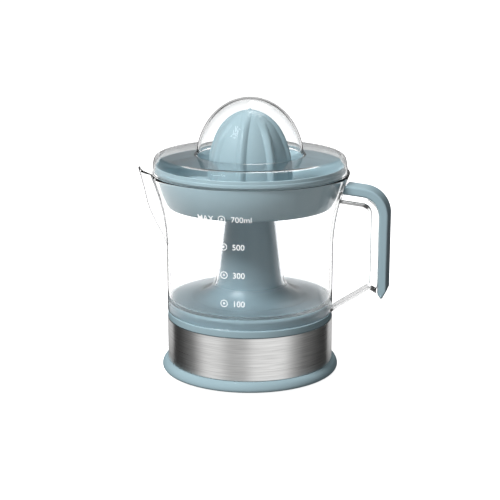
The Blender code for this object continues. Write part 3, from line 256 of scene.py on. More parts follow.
def turn(outline, steps=180, center=(0, 0), mesh=None):
    """Turns a closed outline of (radius, height) round an upright axis; a radius may depend on the angle."""
    mesh = mesh or bmesh.new()
    rings = []
    for radius, height in outline:
        ring = []
        for step in range(1 if radius == 0 else steps):
            angle = 2 * math.pi * step / steps
            size = radius(angle) if callable(radius) else radius
            x = center[0] + size * math.cos(angle)
            y = center[1] + size * math.sin(angle)
            ring.append(mesh.verts.new((x, y, height)))
        rings.append(ring)
    for index, ring in enumerate(rings):
        above = rings[(index + 1) % len(rings)]
        for step in range(steps):
            corners = [ring[step % len(ring)], ring[(step + 1) % len(ring)]]
            corners += [above[(step + 1) % len(above)], above[step % len(above)]]
            corners = list(dict.fromkeys(corners))
            if len(corners) > 2:
                mesh.faces.new(corners)
    return mesh


def satin_plastic(name, light, dark, roughness, grain=0.012):
    """Moulded plastic: a slow drift between two near tones, and a fine even grain `grain` mm deep."""
    finish, tree, shader = new_finish(name, {})
    spot = add_node(tree, "ShaderNodeTexCoord", {}).outputs["Object"]
    drift = add_node(tree, "ShaderNodeTexNoise", {"Vector": spot, "Scale": 28, "Detail": 4}).outputs["Fac"]
    fine = add_node(tree, "ShaderNodeTexNoise", {"Vector": spot, "Scale": 1800, "Detail": 2}).outputs["Fac"]
    gloss_range = {"Value": drift, "To Min": roughness - 0.05, "To Max": roughness + 0.05}
    gloss = add_node(tree, "ShaderNodeMapRange", gloss_range).outputs["Result"]
    grain_relief = {"Height": fine, "Strength": 0.35, "Distance": grain * mm}
    relief = add_node(tree, "ShaderNodeBump", grain_relief).outputs["Normal"]
    tones = add_ramp(tree, drift, (0.3, dark), (0.7, light))
    set_inputs(tree, shader, {"Base Color": tones, "Roughness": gloss, "Normal": relief})
    return finish


blue_grey = satin_plastic("blue_grey_plastic", (0.335, 0.462, 0.512), (0.322, 0.447, 0.497), 0.40)

band_low, band_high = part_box("steel_band")
band_radius = band_high.x
foot_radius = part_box("foot_ring")[1].x
foot_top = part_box("foot_ring")[1].z
foot_bore, foot_ledge = 56.5 * mm, 54.6 * mm
foot_flare = foot_radius - band_radius
foot_outline = rounded(
    [
        (foot_bore, 0, 0.4 * mm),
        (foot_radius - 1.2 * mm, 0, 1.2 * mm),
        (foot_radius, 2.0 * mm, 2.2 * mm),
        (foot_radius - 0.30 * foot_flare, 0.76 * foot_top, 2.2 * mm),
        (band_radius + 0.5 * mm, foot_top, 0.5 * mm),
        (band_radius - 2.6 * mm, foot_top, 0),
        (band_radius - 2.6 * mm, 5.2 * mm, 0),
        (foot_ledge, 5.2 * mm, 0),
        (foot_ledge, 3.2 * mm, 0),
        (foot_bore, 3.2 * mm, 0),
    ],
    6,
)
foot_ring = finished("foot_ring_shell", turn(foot_outline, 240), blue_grey, "base", "foot_ring")


# ------------------------------------------------------------------ bottom cover, feet and screws
# A flat cover closes the base from below. Four rubber feet are plugged into it and four screws
# hold it to the housing's posts. Its middle pad and two moulded rings stiffen it.

cover_low, cover_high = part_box("bottom_cover")
cover_edge = cover_high.x
pad_radius, pad_step = 25 * mm, 0.7 * mm
cover_outline = [(0, cover_low.z), (pad_radius, cover_low.z), (pad_radius, pad_step)]
for ring_radius in (31 * mm, 37 * mm):
    cover_outline += [
        (ring_radius, pad_step),
        (ring_radius + 0.2 * mm, pad_step - 0.4 * mm),
        (ring_radius + 1.2 * mm, pad_step - 0.4 * mm),
        (ring_radius + 1.4 * mm, pad_step),
    ]
cover_outline += [(cover_edge, pad_step), (cover_edge, cover_high.z), (0, cover_high.z)]
dark_plastic = satin_plastic("dark_grey_plastic", (0.105, 0.115, 0.125), (0.085, 0.095, 0.105), 0.52, 0.03)
bottom_cover = finished("bottom_cover_plate", turn(cover_outline, 160), dark_plastic, "base", "bottom_cover")


def shaped_mesh(piece):
    """A plain mesh of what the object's modifiers or its curve make."""
    depsgraph = bpy.context.evaluated_depsgraph_get()
    return bpy.data.meshes.new_from_object(piece.evaluated_get(depsgraph))


def hole_through(piece, name, mesh):
    """Cuts a hidden closed mesh out of a piece."""
    bmesh.ops.recalc_face_normals(mesh, faces=mesh.faces[:])
    data = bpy.data.meshes.new(name)
    mesh.to_mesh(data)
    mesh.free()
    cutter = new_object(name, data)
    cut = piece.modifiers.new(name, "BOOLEAN")
    cut.operation = "DIFFERENCE"
    cut.solver = "EXACT"
    cut.object = cutter
    shaped = shaped_mesh(piece)
    piece.modifiers.clear()
    piece.data = shaped
    smooth_sides(piece.data)
    bpy.data.objects.remove(cutter)


def middle_of(node):
    """The middle of a CAD node in plan, as (x, y)."""
    low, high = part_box(node)
    return ((low.x + high.x) / 2, (low.y + high.y) / 2)


def peg(radius, low, high):
    """The outline of a plain round peg on its own axis."""
    return [(0, low), (radius, low), (radius, high), (0, high)]


foot_places = [middle_of(f"rubber_foot_{number}") for number in range(1, 5)]
screw_places = [middle_of(f"cover_screw_{number}") for number in range(1, 5)]
foot_plug_hole, screw_hole = 2.3 * mm, 1.5 * mm
cover_holes = bmesh.new()
for place in foot_places:
    turn(peg(foot_plug_hole, -1 * mm, 5 * mm), 32, place, cover_holes)
for place in screw_places:
    turn(peg(screw_hole, -1 * mm, 5 * mm), 32, place, cover_holes)
hole_through(bottom_cover, "cover_holes", cover_holes)

rubber = satin_plastic("black_rubber", (0.030, 0.030, 0.031), (0.022, 0.022, 0.023), 0.78, 0.05)
foot_pad = rounded(
    [
        (0, table_top, 0),
        (6 * mm, table_top, 0.5 * mm),
        (6 * mm, 0.4 * mm, 0.3 * mm),
        (2 * mm, 0.4 * mm, 0),
        (2 * mm, 3.6 * mm, 0.4 * mm),
        (0, 3.6 * mm, 0),
    ]
)
for number, place in enumerate(foot_places, 1):
    node = f"rubber_foot_{number}"
    foot = finished(f"rubber_foot_pad_{number}", turn(foot_pad, 64, place), rubber, "base", node)


def metal(name, tone, roughness, stretch=(60, 60, 60)):
    """Plain metal with faint marks; a large number in `stretch` packs them close in that direction."""
    finish, tree, shader = new_finish(name, {"Metallic": 1})
    spot = add_node(tree, "ShaderNodeTexCoord", {}).outputs["Object"]
    stretched = add_node(tree, "ShaderNodeMapping", {"Vector": spot, "Scale": stretch}).outputs["Vector"]
    mottle = {"Vector": stretched, "Scale": 6, "Detail": 5}
    marks = add_node(tree, "ShaderNodeTexNoise", mottle).outputs["Fac"]
    tones = add_ramp(tree, marks, (0.3, [0.85 * part for part in tone]), (0.7, tone))
    gloss_range = {"Value": marks, "To Min": roughness - 0.08, "To Max": roughness + 0.08}
    gloss = add_node(tree, "ShaderNodeMapRange", gloss_range).outputs["Result"]
    set_inputs(tree, shader, {"Base Color": tones, "Roughness": gloss})
    return finish


def carried_over(finish, *names):
    """Gives CAD nodes that stay as they are their finish and smooth sides."""
    for name in names:
        data = nodes[name].data
        data.materials.clear()
        data.materials.append(finish)
        smooth_sides(data)


screw_steel = metal("screw_steel", (0.62, 0.62, 0.63), 0.3)
carried_over(screw_steel, "gear_plate_screw_1", "gear_plate_screw_2", "gear_plate_screw_3")
carried_over(screw_steel, "stator_screw_1", "stator_screw_2")


def slot_bar(place, under, half_x, half_y, depth):
    """One of the two bars that cut a driver's cross into the underside of a screw head."""
    mesh = bmesh.new()
    for vert in bmesh.ops.create_cube(mesh, size=2)["verts"]:
        vert.co.x = place[0] + vert.co.x * half_x
        vert.co.y = place[1] + vert.co.y * half_y
        vert.co.z = under + vert.co.z * depth
    return mesh


screw_head_radius, screw_head_depth, screw_shank = 2.8 * mm, 1.6 * mm, 1.2 * mm
for number, place in enumerate(screw_places, 1):
    node = f"cover_screw_{number}"
    low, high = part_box(node)
    head = [
        (0, low.z, 0),
        (2.2 * mm, low.z, 0.5 * mm),
        (screw_head_radius, low.z + 0.8 * mm, 0.4 * mm),
        (screw_head_radius, low.z + screw_head_depth, 0),
        (screw_shank, low.z + screw_head_depth, 0),
        (screw_shank, high.z, 0.4 * mm),
        (0, high.z, 0),
    ]
    head_mesh = turn(rounded(head), 48, place)
    screw = finished(f"cover_screw_head_{number}", head_mesh, screw_steel, "base", node)
    for half_x, half_y in ((1.5 * mm, 0.3 * mm), (0.3 * mm, 1.5 * mm)):
        hole_through(screw, "driver_slot", slot_bar(place, low.z, half_x, half_y, 0.8 * mm))


# ------------------------------------------------------------------ steel band
# A strip of stainless steel rolled round the housing and brushed along its length. The lines of
# the brushing run round the base, so light spreads up and down in it and stays narrow sideways.


def brushed_steel(name):
    """Steel with lines drawn round the Z axis, as colour, gloss and relief."""
    drawn_metal = {"Metallic": 1, "Anisotropic": 0.7, "Anisotropic Rotation": 0.25}
    finish, tree, shader = new_finish(name, drawn_metal)
    spot = add_node(tree, "ShaderNodeTexCoord", {}).outputs["Object"]
    around = add_node(tree, "ShaderNodeTangent", {}, direction_type="RADIAL", axis="Z").outputs["Tangent"]
    lines = []
    for long_scale, high_scale, detail in ((30, 4200, 3), (45, 1300, 2)):
        stretch = {"Vector": spot, "Scale": (long_scale, long_scale, high_scale)}
        stretched = add_node(tree, "ShaderNodeMapping", stretch).outputs["Vector"]
        drawn = {"Vector": stretched, "Scale": 1, "Detail": detail}
        lines.append(add_node(tree, "ShaderNodeTexNoise", drawn).outputs["Fac"])
    fine, coarse = lines
    share = {0: coarse, 1: 0.55}
    coarse_part = add_node(tree, "ShaderNodeMath", share, operation="MULTIPLY").outputs["Value"]
    mixed = {0: fine, 1: 0.45, 2: coarse_part}
    both = add_node(tree, "ShaderNodeMath", mixed, operation="MULTIPLY_ADD").outputs["Value"]
    tones = add_ramp(tree, both, (0.36, (0.62, 0.62, 0.615)), (0.64, (0.86, 0.86, 0.85)))
    gloss_range = {"Value": both, "To Min": 0.24, "To Max": 0.34}
    gloss = add_node(tree, "ShaderNodeMapRange", gloss_range).outputs["Result"]
    line_relief = {"Height": both, "Strength": 0.25, "Distance": 0.004 * mm}
    relief = add_node(tree, "ShaderNodeBump", line_relief).outputs["Normal"]
    linked = {"Base Color": tones, "Roughness": gloss, "Normal": relief, "Tangent": around}
    set_inputs(tree, shader, linked)
    return finish


band_thickness = 0.6 * mm
band_outline = rounded(
    [
        (band_radius - band_thickness, band_low.z, 0),
        (band_radius, band_low.z, 0.2 * mm),
        (band_radius, band_high.z, 0.2 * mm),
        (band_radius - band_thickness, band_high.z, 0),
    ]
)
band_steel = brushed_steel("brushed_band_steel")
steel_band = finished("brushed_steel_band", turn(band_outline, 300), band_steel, "base", "steel_band")

# two tall strips of light behind the base that only the steel mirrors, at its outer edges
band_only = bpy.data.collections.new("band_only")
band_only.objects.link(steel_band)
for name, angle in (("left_strip", -142), ("right_strip", 146)):
    strip = studio_light(name, angle, 0.0, 0.7, 0.34, 0.3)
    strip.visible_glossy = True
    strip.visible_camera = False
    strip.visible_transmission = False
    strip.light_linking.receiver_collection = band_only

inlet_low, inlet_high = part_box("cord_inlet_bush")
inlet_height = (inlet_low.z + inlet_high.z) / 2


def turn_along_y(outline, height, steps=48):
    """Turns an outline of (radius, y) round a level axis that points to the back."""
    mesh = turn([(radius, along) for radius, along in outline], steps)
    for vert in mesh.verts:
        vert.co = (vert.co.x, vert.co.z, height + vert.co.y)
    return mesh


inlet_cut = peg(5.3 * mm, 50 * mm, 70 * mm)
hole_through(steel_band, "inlet_hole", turn_along_y(inlet_cut, inlet_height))


# ------------------------------------------------------------------ motor
# A small synchronous motor lies under the gear plate: a U-shaped stack of silicon steel sheets,
# two windings of enamelled copper on nylon bobbins, and a ferrite rotor between the pole shoes.


def banded(name, light, dark, spacing, direction, metallic, roughness):
    """Fine parallel bands, such as stacked sheets or wound wire, as colour and relief."""
    finish, tree, shader = new_finish(name, {"Metallic": metallic, "Roughness": roughness})
    spot = add_node(tree, "ShaderNodeTexCoord", {}).outputs["Object"]
    repeat = {"Vector": spot, "Scale": math.pi / (10 * spacing), "Distortion": 0.4}
    wave = add_node(tree, "ShaderNodeTexWave", repeat, wave_type="BANDS", bands_direction=direction)
    bands = wave.outputs["Fac"]
    band_relief = {"Height": bands, "Strength": 0.6, "Distance": spacing / 4}
    relief = add_node(tree, "ShaderNodeBump", band_relief).outputs["Normal"]
    tones = add_ramp(tree, bands, (0, dark), (1, light))
    set_inputs(tree, shader, {"Base Color": tones, "Normal": relief})
    return finish


sheet_light, sheet_dark = (0.34, 0.35, 0.37), (0.16, 0.16, 0.17)
wire_light, wire_dark = (0.62, 0.24, 0.09), (0.25, 0.08, 0.03)
sheet_stack = banded("stacked_steel_sheets", sheet_light, sheet_dark, 0.5 * mm, "Z", 1.0, 0.5)
copper_wire = banded("enamelled_copper_wire", wire_light, wire_dark, 0.45 * mm, "Y", 0.8, 0.35)
nylon = satin_plastic("natural_nylon", (0.74, 0.71, 0.62), (0.68, 0.65, 0.56), 0.42)
ferrite = satin_plastic("ferrite_magnet", (0.070, 0.070, 0.076), (0.045, 0.045, 0.050), 0.55, 0.06)
spacer_brass = metal("turned_brass", (0.74, 0.56, 0.25), 0.32)
carried_over(sheet_stack, "motor_stator")
carried_over(copper_wire, "motor_coil_left", "motor_coil_right")
carried_over(nylon, "coil_bobbin_left", "coil_bobbin_right", "rotor_bridge", "rotor_pinion")
carried_over(ferrite, "rotor_magnet")
carried_over(spacer_brass, "stator_spacer_1", "stator_spacer_2")
carried_over(screw_steel, "rotor_shaft")


# ------------------------------------------------------------------ gears
# A zinc-plated steel plate hangs from the deck and carries the gears: a nylon pinion on the rotor,
# a stepped acetal idler on a steel pin, and the acetal output gear with its hexagonal bore.

plated_steel = metal("zinc_plated_steel", (0.64, 0.66, 0.69), 0.4)
acetal = satin_plastic("white_acetal", (0.82, 0.82, 0.79), (0.77, 0.77, 0.74), 0.38)
carried_over(plated_steel, "gear_plate")
carried_over(acetal, "idler_gear", "output_gear", "thrust_cup")
carried_over(screw_steel, "idler_pin")


# ------------------------------------------------------------------ press-to-start pieces
# The spindle stands in a thrust cup on a steel spring. A press on the cone sinks both by three
# millimetres, and the cup pushes the plunger of the start switch on the bottom cover.

switch_black = satin_plastic("switch_black", (0.040, 0.040, 0.042), (0.028, 0.028, 0.030), 0.42)
switch_red = satin_plastic("switch_red", (0.56, 0.06, 0.05), (0.48, 0.05, 0.04), 0.4)
carried_over(dark_plastic, "spindle_guide")
carried_over(switch_black, "start_switch")
carried_over(switch_red, "switch_plunger")

spring_low, spring_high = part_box("return_spring")
spring_wire, spring_turns = 0.45 * mm, 4
spring_radius = spring_high.x - spring_wire
spring_route = bpy.data.curves.new("spring_route", "CURVE")
spring_route.dimensions = "3D"
spring_route.bevel_depth = spring_wire
spring_route.bevel_resolution = 3
spring_route.use_fill_caps = True
coil = spring_route.splines.new("POLY")
coil_points = 28 * spring_turns
coil.points.add(coil_points)
for step, point in enumerate(coil.points):
    angle = 2 * math.pi * spring_turns * step / coil_points
    rise = (spring_high.z - spring_low.z - 2 * spring_wire) * step / coil_points
    x, y = spring_radius * math.cos(angle), spring_radius * math.sin(angle)
    point.co = (x, y, spring_low.z + spring_wire + rise, 1)
spring_form = new_object("spring_form", spring_route)
spring_mesh = shaped_mesh(spring_form)
bpy.data.objects.remove(spring_form)
spring_mesh.shade_smooth()
spring_mesh.materials.clear()
spring_mesh.materials.append(screw_steel)
return_spring = new_object("coiled_return_spring", spring_mesh)
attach(return_spring, "base")
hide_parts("return_spring")
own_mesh(return_spring)


# ------------------------------------------------------------------ motor housing
# One satin moulding: the rim above the steel band, the shallow deck that the jug stands over, and
# the tall tapering column. A bronze bushing and a rubber seal sit on the column's open top.

housing_low, housing_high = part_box("motor_housing")
rim_radius = housing_high.x
rim_base, rim_top = band_high.z + 0.3 * mm, band_high.z + 5.3 * mm
deck_radius, deck_height = 59.5 * mm, 51.9 * mm
column_top, flare_top = housing_high.z, 70 * mm
column_foot, column_head = 22.9 * mm, 16.3 * mm
foot_flare_reach = 14 * mm


def column_radius(height):
    """The column's straight taper over its trumpet-shaped foot."""
    radius = column_foot - (column_foot - column_head) * (height - flare_top) / (column_top - flare_top)
    if height < flare_top:
        radius += foot_flare_reach * ((flare_top - height) / (flare_top - deck_height)) ** 3
    return radius


flare = [deck_height + (flare_top - deck_height) * step / 16 for step in range(17)]
wall_inside = band_radius - 3.3 * mm
behind_band = band_radius - 0.9 * mm
column_wall, deck_thickness = 2.2 * mm, 2.4 * mm
seal_bore = 6.5 * mm
housing_outline = rounded(
    [
        (wall_inside, housing_low.z + 6 * mm, 0),
        (behind_band, housing_low.z + 6 * mm, 0),
        (behind_band, rim_base, 0),
        (rim_radius, rim_base, 0.4 * mm),
        (rim_radius, rim_top, 0.9 * mm),
        (deck_radius, rim_top, 0.3 * mm),
        (deck_radius, deck_height, 2.2 * mm),
        (column_radius(deck_height) + 2 * mm, deck_height, 0.8 * mm),
    ],
    6,
)
housing_outline += [(column_radius(height), height) for height in flare[1:]]
housing_outline += rounded(
    [
        (column_radius(column_top - 2 * mm), column_top - 2 * mm, 0),
        (column_head, column_top, 1.2 * mm),
        (seal_bore, column_top, 0.2 * mm),
        (seal_bore, column_top - 3 * mm, 0),
        (column_head - column_wall, column_top - 3 * mm, 0),
    ]
)
for height in reversed(flare[1:]):
    housing_outline.append((column_radius(height) - column_wall, height - 1.2 * mm))
housing_outline.append((column_radius(deck_height), deck_height - deck_thickness))
housing_outline.append((wall_inside, deck_height - deck_thickness))
housing = finished("motor_housing_shell", turn(housing_outline, 240), blue_grey, "base", "motor_housing")
hole_through(housing, "inlet_hole", turn_along_y(inlet_cut, inlet_height))

bronze = metal("sintered_bronze", (0.50, 0.33, 0.17), 0.5)
carried_over(bronze, "column_bushing")
carried_over(rubber, "shaft_seal")

cord_bore, bush_neck, bush_flange = 3.4 * mm, 5 * mm, 6.8 * mm
bush_outline = rounded(
    [
        (cord_bore, inlet_low.y, 0.3 * mm),
        (bush_flange, inlet_low.y, 0.4 * mm),
        (bush_flange, inlet_low.y + 2 * mm, 0),
        (bush_neck, inlet_low.y + 2 * mm, 0),
        (bush_neck, band_radius + 0.3 * mm, 0),
        (bush_flange, band_radius + 0.3 * mm, 0.3 * mm),
        (bush_flange - 1 * mm, inlet_high.y, 0.6 * mm),
        (cord_bore, inlet_high.y, 0.4 * mm),
    ]
)
bush_mesh = turn_along_y(bush_outline, inlet_height)
cord_inlet = finished("cord_inlet_grommet", bush_mesh, rubber, "base", "cord_inlet_bush")

# the post pillars under the deck that take the screws
posts = bmesh.new()
post_top = 49.3 * mm


def screw_post(place, radius, bottom):
    """Adds one hollow post that takes a screw and ends just under the deck."""
    outline = [(screw_hole, bottom), (radius, bottom), (radius, post_top), (screw_hole, post_top)]
    turn(outline, 40, place, posts)


for place in screw_places:
    screw_post(place, 4 * mm, housing_low.z)
for number in (1, 2, 3):
    screw_post(middle_of(f"gear_plate_screw_{number}"), 3.5 * mm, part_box("gear_plate")[1].z + 0.3 * mm)
screw_posts = finished("housing_screw_posts", posts, blue_grey, "base")


# ------------------------------------------------------------------ drive spindle
# A steel bar with a hexagon at each end: the lower one slides in the output gear, the upper one
# drives the hub under the cone.

spindle_steel = metal("ground_spindle_steel", (0.66, 0.66, 0.67), 0.24, (60, 60, 900))
carried_over(spindle_steel, "drive_spindle")


# ------------------------------------------------------------------ jug
# A clear jug, moulded in one with its pointed spout and the tube in its middle that fits over the
# housing's column. It stands on the housing's rim. Its marks are printed in white, with a faint painted glow.


def clear_plastic(name, tone, roughness, bending):
    """Clear moulded plastic, with painted shade in its colour: near black where it is seen edge on, for the
    dark room seen in its edges. `bending` is its IOR.
    """
    see_through_wall = {"Transmission Weight": 1, "Roughness": roughness, "IOR": bending}
    finish, tree, shader = new_finish(name, see_through_wall)
    edge = add_node(tree, "ShaderNodeLayerWeight", {"Blend": 0.5}).outputs["Facing"]
    painted_edge_shade = [0.76 * part for part in tone]
    # painted shade: the colour goes from the tone to near black as the wall turns edge on
    tones = add_ramp(tree, edge, (0.68, tone), (0.81, painted_edge_shade), (0.90, (0.02, 0.022, 0.025)))
    set_inputs(tree, shader, {"Base Color": tones})
    return finish


def see_through(piece):
    """Lamps and soft light reach what is behind a clear piece."""
    piece.visible_shadow = False
    piece.visible_diffuse = False


clear_tone = (0.985, 0.99, 0.99)
clear = clear_plastic("clear_wall_plastic", clear_tone, 0.01, 1.2)
# the floor's and the tube's grey tones are painted shade on the deck and column seen through them
frosted_with_painted_shade = clear_plastic("frosted_floor_painted_shade", (0.64, 0.67, 0.69), 0.32, 1.2)
tube_painted_shade = clear_plastic("tube_painted_shade_plastic", (0.74, 0.76, 0.78), 0.01, 1.2)

jug_low, jug_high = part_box("jug")
jug_radius, jug_wall = 62 * mm, 2 * mm
jug_top, jug_base = jug_high.z, jug_low.z
jug_flare_start = 93 * mm
jug_flare = jug_high.y - jug_radius
jug_floor = deck_height + 1 * mm
spout_start, spout_reach, spout_half_angle = 94.5 * mm, 16.3 * mm, 22.5
sleeve_top, sleeve_gap, sleeve_wall = 131.5 * mm, 0.7 * mm, 1.4 * mm


def jug_wall_radius(height):
    """The round wall: straight below, and widening towards the mouth."""
    rise = max(0.0, (height - jug_flare_start) / (jug_top - jug_flare_start))
    return jug_radius + jug_flare * rise**1.85


def spout_push(height, angle):
    """How far the pointed spout stands out of the round wall, at -X."""
    rise = (height - spout_start) / (jug_top - spout_start)
    if rise <= 0:
        return 0.0
    depth = spout_reach * math.sin(math.pi / 2 * min(1.0, 1.75 * rise)) ** 0.75 - 2.2 * mm * rise**3
    side = min(1.0, abs(math.degrees(angle) - 180) / spout_half_angle)
    return depth * (1 - side) ** 1.15 * (1 - 0.12 * (1 - side) ** 4)


def jug_ring(height, inset):
    """One ring of the wall with its spout, moved inwards by `inset`."""
    return (lambda angle: jug_wall_radius(height) + spout_push(height, angle) - inset, height)


rise_steps = 40
jug_rise = jug_top - 0.6 * mm - jug_flare_start + 1 * mm
jug_heights = [jug_flare_start - 1 * mm + jug_rise * step / rise_steps for step in range(rise_steps + 1)]
jug_outline = rounded(
    [
        (jug_radius - jug_wall, jug_base, 0.3 * mm),
        (jug_radius, jug_base, 0.8 * mm),
        (jug_radius, jug_base + 6 * mm, 0),
    ]
)
jug_outline += [jug_ring(height, 0) for height in jug_heights]
jug_outline += [jug_ring(jug_top - 0.15 * mm, 0.2 * mm), jug_ring(jug_top, 0.6 * mm)]
jug_outline += [jug_ring(jug_top, jug_wall - 0.6 * mm), jug_ring(jug_top - 0.15 * mm, jug_wall - 0.2 * mm)]
jug_outline += [jug_ring(height, jug_wall) for height in reversed(jug_heights)]
jug_outline += rounded(
    [
        (jug_radius - jug_wall, jug_floor + 10 * mm, 0),
        (jug_radius - jug_wall, jug_floor + 1.8 * mm, 2.5 * mm),
        (column_radius(deck_height) + 4 * mm, jug_floor + 1.8 * mm, 0.8 * mm),
    ],
    6,
)
jug_outline += [(column_radius(height) + sleeve_gap + sleeve_wall, height + 2.8 * mm) for height in flare[1:]]
sleeve_shoulder = sleeve_top - 3 * mm
jug_outline += rounded(
    [
        (column_radius(sleeve_shoulder) + sleeve_gap + sleeve_wall, sleeve_shoulder, 0),
        (column_radius(sleeve_top) + sleeve_gap + sleeve_wall, sleeve_top, 0.5 * mm),
        (column_radius(sleeve_top) + sleeve_gap, sleeve_top, 0.3 * mm),
        (column_radius(sleeve_shoulder) + sleeve_gap, sleeve_shoulder, 0),
    ]
)
jug_outline += [(column_radius(height) + sleeve_gap, height + 1 * mm) for height in reversed(flare[1:])]
jug_outline += [(column_radius(deck_height) + 2 * mm, jug_floor), (jug_radius - jug_wall, jug_floor)]
jug = finished("clear_jug", turn(jug_outline, 288), clear, "jug", "jug")

# the floor and the tube's foot are lightly frosted and carry a grey painted shade, and the tube above them
# carries a lighter painted shade, to darken the deck and column seen through them
jug.data.materials.append(frosted_with_painted_shade)
jug.data.materials.append(tube_painted_shade)
frost_top, tube_zone = 64 * mm, 50 * mm
for face in jug.data.polygons:
    in_tube = face.center.xy.length < tube_zone
    if face.center.z < jug_floor + 2.6 * mm or (in_tube and face.center.z < frost_top):
        face.material_index = 1
    elif in_tube:
        face.material_index = 2
see_through(jug)

print_white = satin_plastic("white_print", (0.95, 0.96, 0.97), (0.90, 0.91, 0.92), 0.5)
print_tree = print_white.node_tree
# the white print is given a faint painted glow that lifts it, as if lit
print_painted_glow = {"Emission Color": (1, 1, 1, 1), "Emission Strength": 0.4}
set_inputs(print_tree, print_tree.nodes["Principled BSDF"], print_painted_glow)
print_thickness, print_gap = 0.06 * mm, 0.04 * mm


def on_jug(flat, angle, height):
    """Bends a flat mesh, drawn in x and y, onto the outside of the jug at this angle and height."""
    wall = jug_wall_radius(height)
    for vert in flat.verts:
        around = math.radians(angle) + vert.co.x / wall
        level = height + vert.co.y
        reach = jug_wall_radius(level) + print_gap + vert.co.z
        vert.co = (reach * math.cos(around), reach * math.sin(around), level)


def printed_word(word, angle, height, letter_height, side):
    """White letters or figures on the jug, with one end at this angle."""
    letters = bpy.data.curves.new("letters", "FONT")
    letters.body = word
    letters.size = letter_height / 0.7
    letters.align_x = side
    letters.extrude = print_thickness / 2
    letters.offset = 0.02 * mm
    form = new_object("letters", letters)
    flat = bmesh.new()
    flat.from_mesh(shaped_mesh(form))
    bpy.data.objects.remove(form)
    for vert in flat.verts:
        vert.co.y -= letter_height / 2
        vert.co.z += print_thickness / 2
    on_jug(flat, angle, height)
    piece = finished(f"mark_{word}", flat, print_white, "jug")


def printed_ring(number, angle, height):
    """A small ring with a dot in it, beside each figure."""
    flat = bmesh.new()
    for inner, outer in ((2.15 * mm, 2.65 * mm), (0.0, 0.75 * mm)):
        edge = [(inner, 0), (outer, 0), (outer, print_thickness), (inner, print_thickness)]
        turn(edge, 40, mesh=flat)
    on_jug(flat, angle, height)
    piece = finished(f"mark_ring_{number}", flat, print_white, "jug")


mark_levels = ((65.3 * mm, "100"), (86.1 * mm, "300"), (106.8 * mm, "500"), (127.4 * mm, "700ml"))
mark_height = 4.2 * mm
for number, (level, word) in enumerate(mark_levels, 1):
    printed_ring(number, -94.2, level)
    printed_word(word, -88.6, level, mark_height, "LEFT")
printed_word("MAX", -99.3, mark_levels[-1][0], mark_height, "RIGHT")


# ------------------------------------------------------------------ handle
# A clear bar, moulded with the jug, runs out from the wall, down and back in through a thin strut.
# A blue-grey grip is clipped over its outside.

grip_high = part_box("handle_grip")[1]
grip_thickness = 6.6 * mm
grip_inside = grip_high.x - grip_thickness
strap_depth = 6.8 * mm
bend_radius, bend_height = 13.9 * mm, 121.3 * mm
bend_reach = grip_inside - bend_radius
handle_slope = math.radians(6)
handle_end = 63.4 * mm


def handle_line(offset, clearance, cuts=24):
    """The handle's outline, `offset` outside the grip's inner face, from the jug's wall round the bend."""
    radius = bend_radius + offset
    first = math.pi / 2 - handle_slope
    touch_x = bend_reach + radius * math.cos(first)
    touch_z = bend_height + radius * math.sin(first)
    start = jug_radius
    # the wall leans, so the place where the line meets it is found in a few rounds
    for _ in range(6):
        start = jug_wall_radius(touch_z + (touch_x - start) * math.tan(handle_slope)) + clearance
    points = [(start, touch_z + (touch_x - start) * math.tan(handle_slope))]
    for step in range(cuts + 1):
        angle = first * (1 - step / cuts)
        points.append((bend_reach + radius * math.cos(angle), bend_height + radius * math.sin(angle)))
    return points


def slab(outline, half_width):
    """Extrudes an outline of (x, z) to both sides of the handle's middle plane."""
    mesh = bmesh.new()
    front = [mesh.verts.new((x, -half_width, z)) for x, z in outline]
    back = [mesh.verts.new((x, half_width, z)) for x, z in outline]
    mesh.faces.new(front)
    mesh.faces.new(back)
    for index in range(len(outline)):
        after = (index + 1) % len(outline)
        mesh.faces.new([front[index], front[after], back[after], back[index]])
    return mesh


def rounded_edges(piece, width, segments):
    """Rounds a slab's long edges, and leaves its bends as they are."""
    bevel = piece.modifiers.new("rounded_edges", "BEVEL")
    bevel.width = width
    bevel.segments = segments
    bevel.limit_method = "ANGLE"
    bevel.angle_limit = math.radians(38)
    bevel.harden_normals = True


under_grip, off_wall = 0.3 * mm, 0.1 * mm
strap_outer = handle_line(-under_grip, off_wall)
strap_inner = handle_line(-under_grip - strap_depth, off_wall)
strap_reach = grip_inside - under_grip
strap_inside = strap_reach - strap_depth
strut_angle = math.radians(34)
strut_rise = math.tan(strut_angle)
strut_half = 1.2 * mm / math.cos(strut_angle)


def strut_height(reach, side):
    """The height of the slanting strut's lower (-1) or upper (1) face at this distance from the axis."""
    return handle_end + 3.8 * mm + (reach - strap_inside) * strut_rise + side * strut_half


strut_start = jug_radius + off_wall
strap_outline = strap_outer + [(strap_reach, handle_end)]
strap_outline += [(reach, strut_height(reach, -1)) for reach in (strap_inside + 1.3 * mm, strut_start)]
strap_outline += [(reach, strut_height(reach, 1)) for reach in (strut_start, strap_inside)]
strap_outline += list(reversed(strap_inner))
solid_clear = clear_plastic("clear_handle_plastic", clear_tone, 0.01, 1.45)
strap = finished("clear_handle_bar", slab(strap_outline, 9 * mm), solid_clear, "jug", "handle_strap")
rounded_edges(strap, 0.9 * mm, 4)
see_through(strap)

grip_tip = (grip_inside + 2.9 * mm, handle_end - 4.1 * mm)
grip_outline = handle_line(grip_thickness, 0.5 * mm) + [(grip_high.x, handle_end + 2.8 * mm), grip_tip]
grip_outline += [(grip_inside, handle_end - 0.2 * mm)] + list(reversed(handle_line(0, 0.5 * mm)))
grip = finished("handle_grip_cover", slab(grip_outline, grip_high.y), blue_grey, "jug", "handle_grip")
rounded_edges(grip, 1.6 * mm, 5)


# ------------------------------------------------------------------ juice bowl
# The blue-grey bowl hangs in the jug's mouth. It has a bulging wall, a stepped rim band, drain
# holes in its floor and a hub that drops over the jug's middle tube.

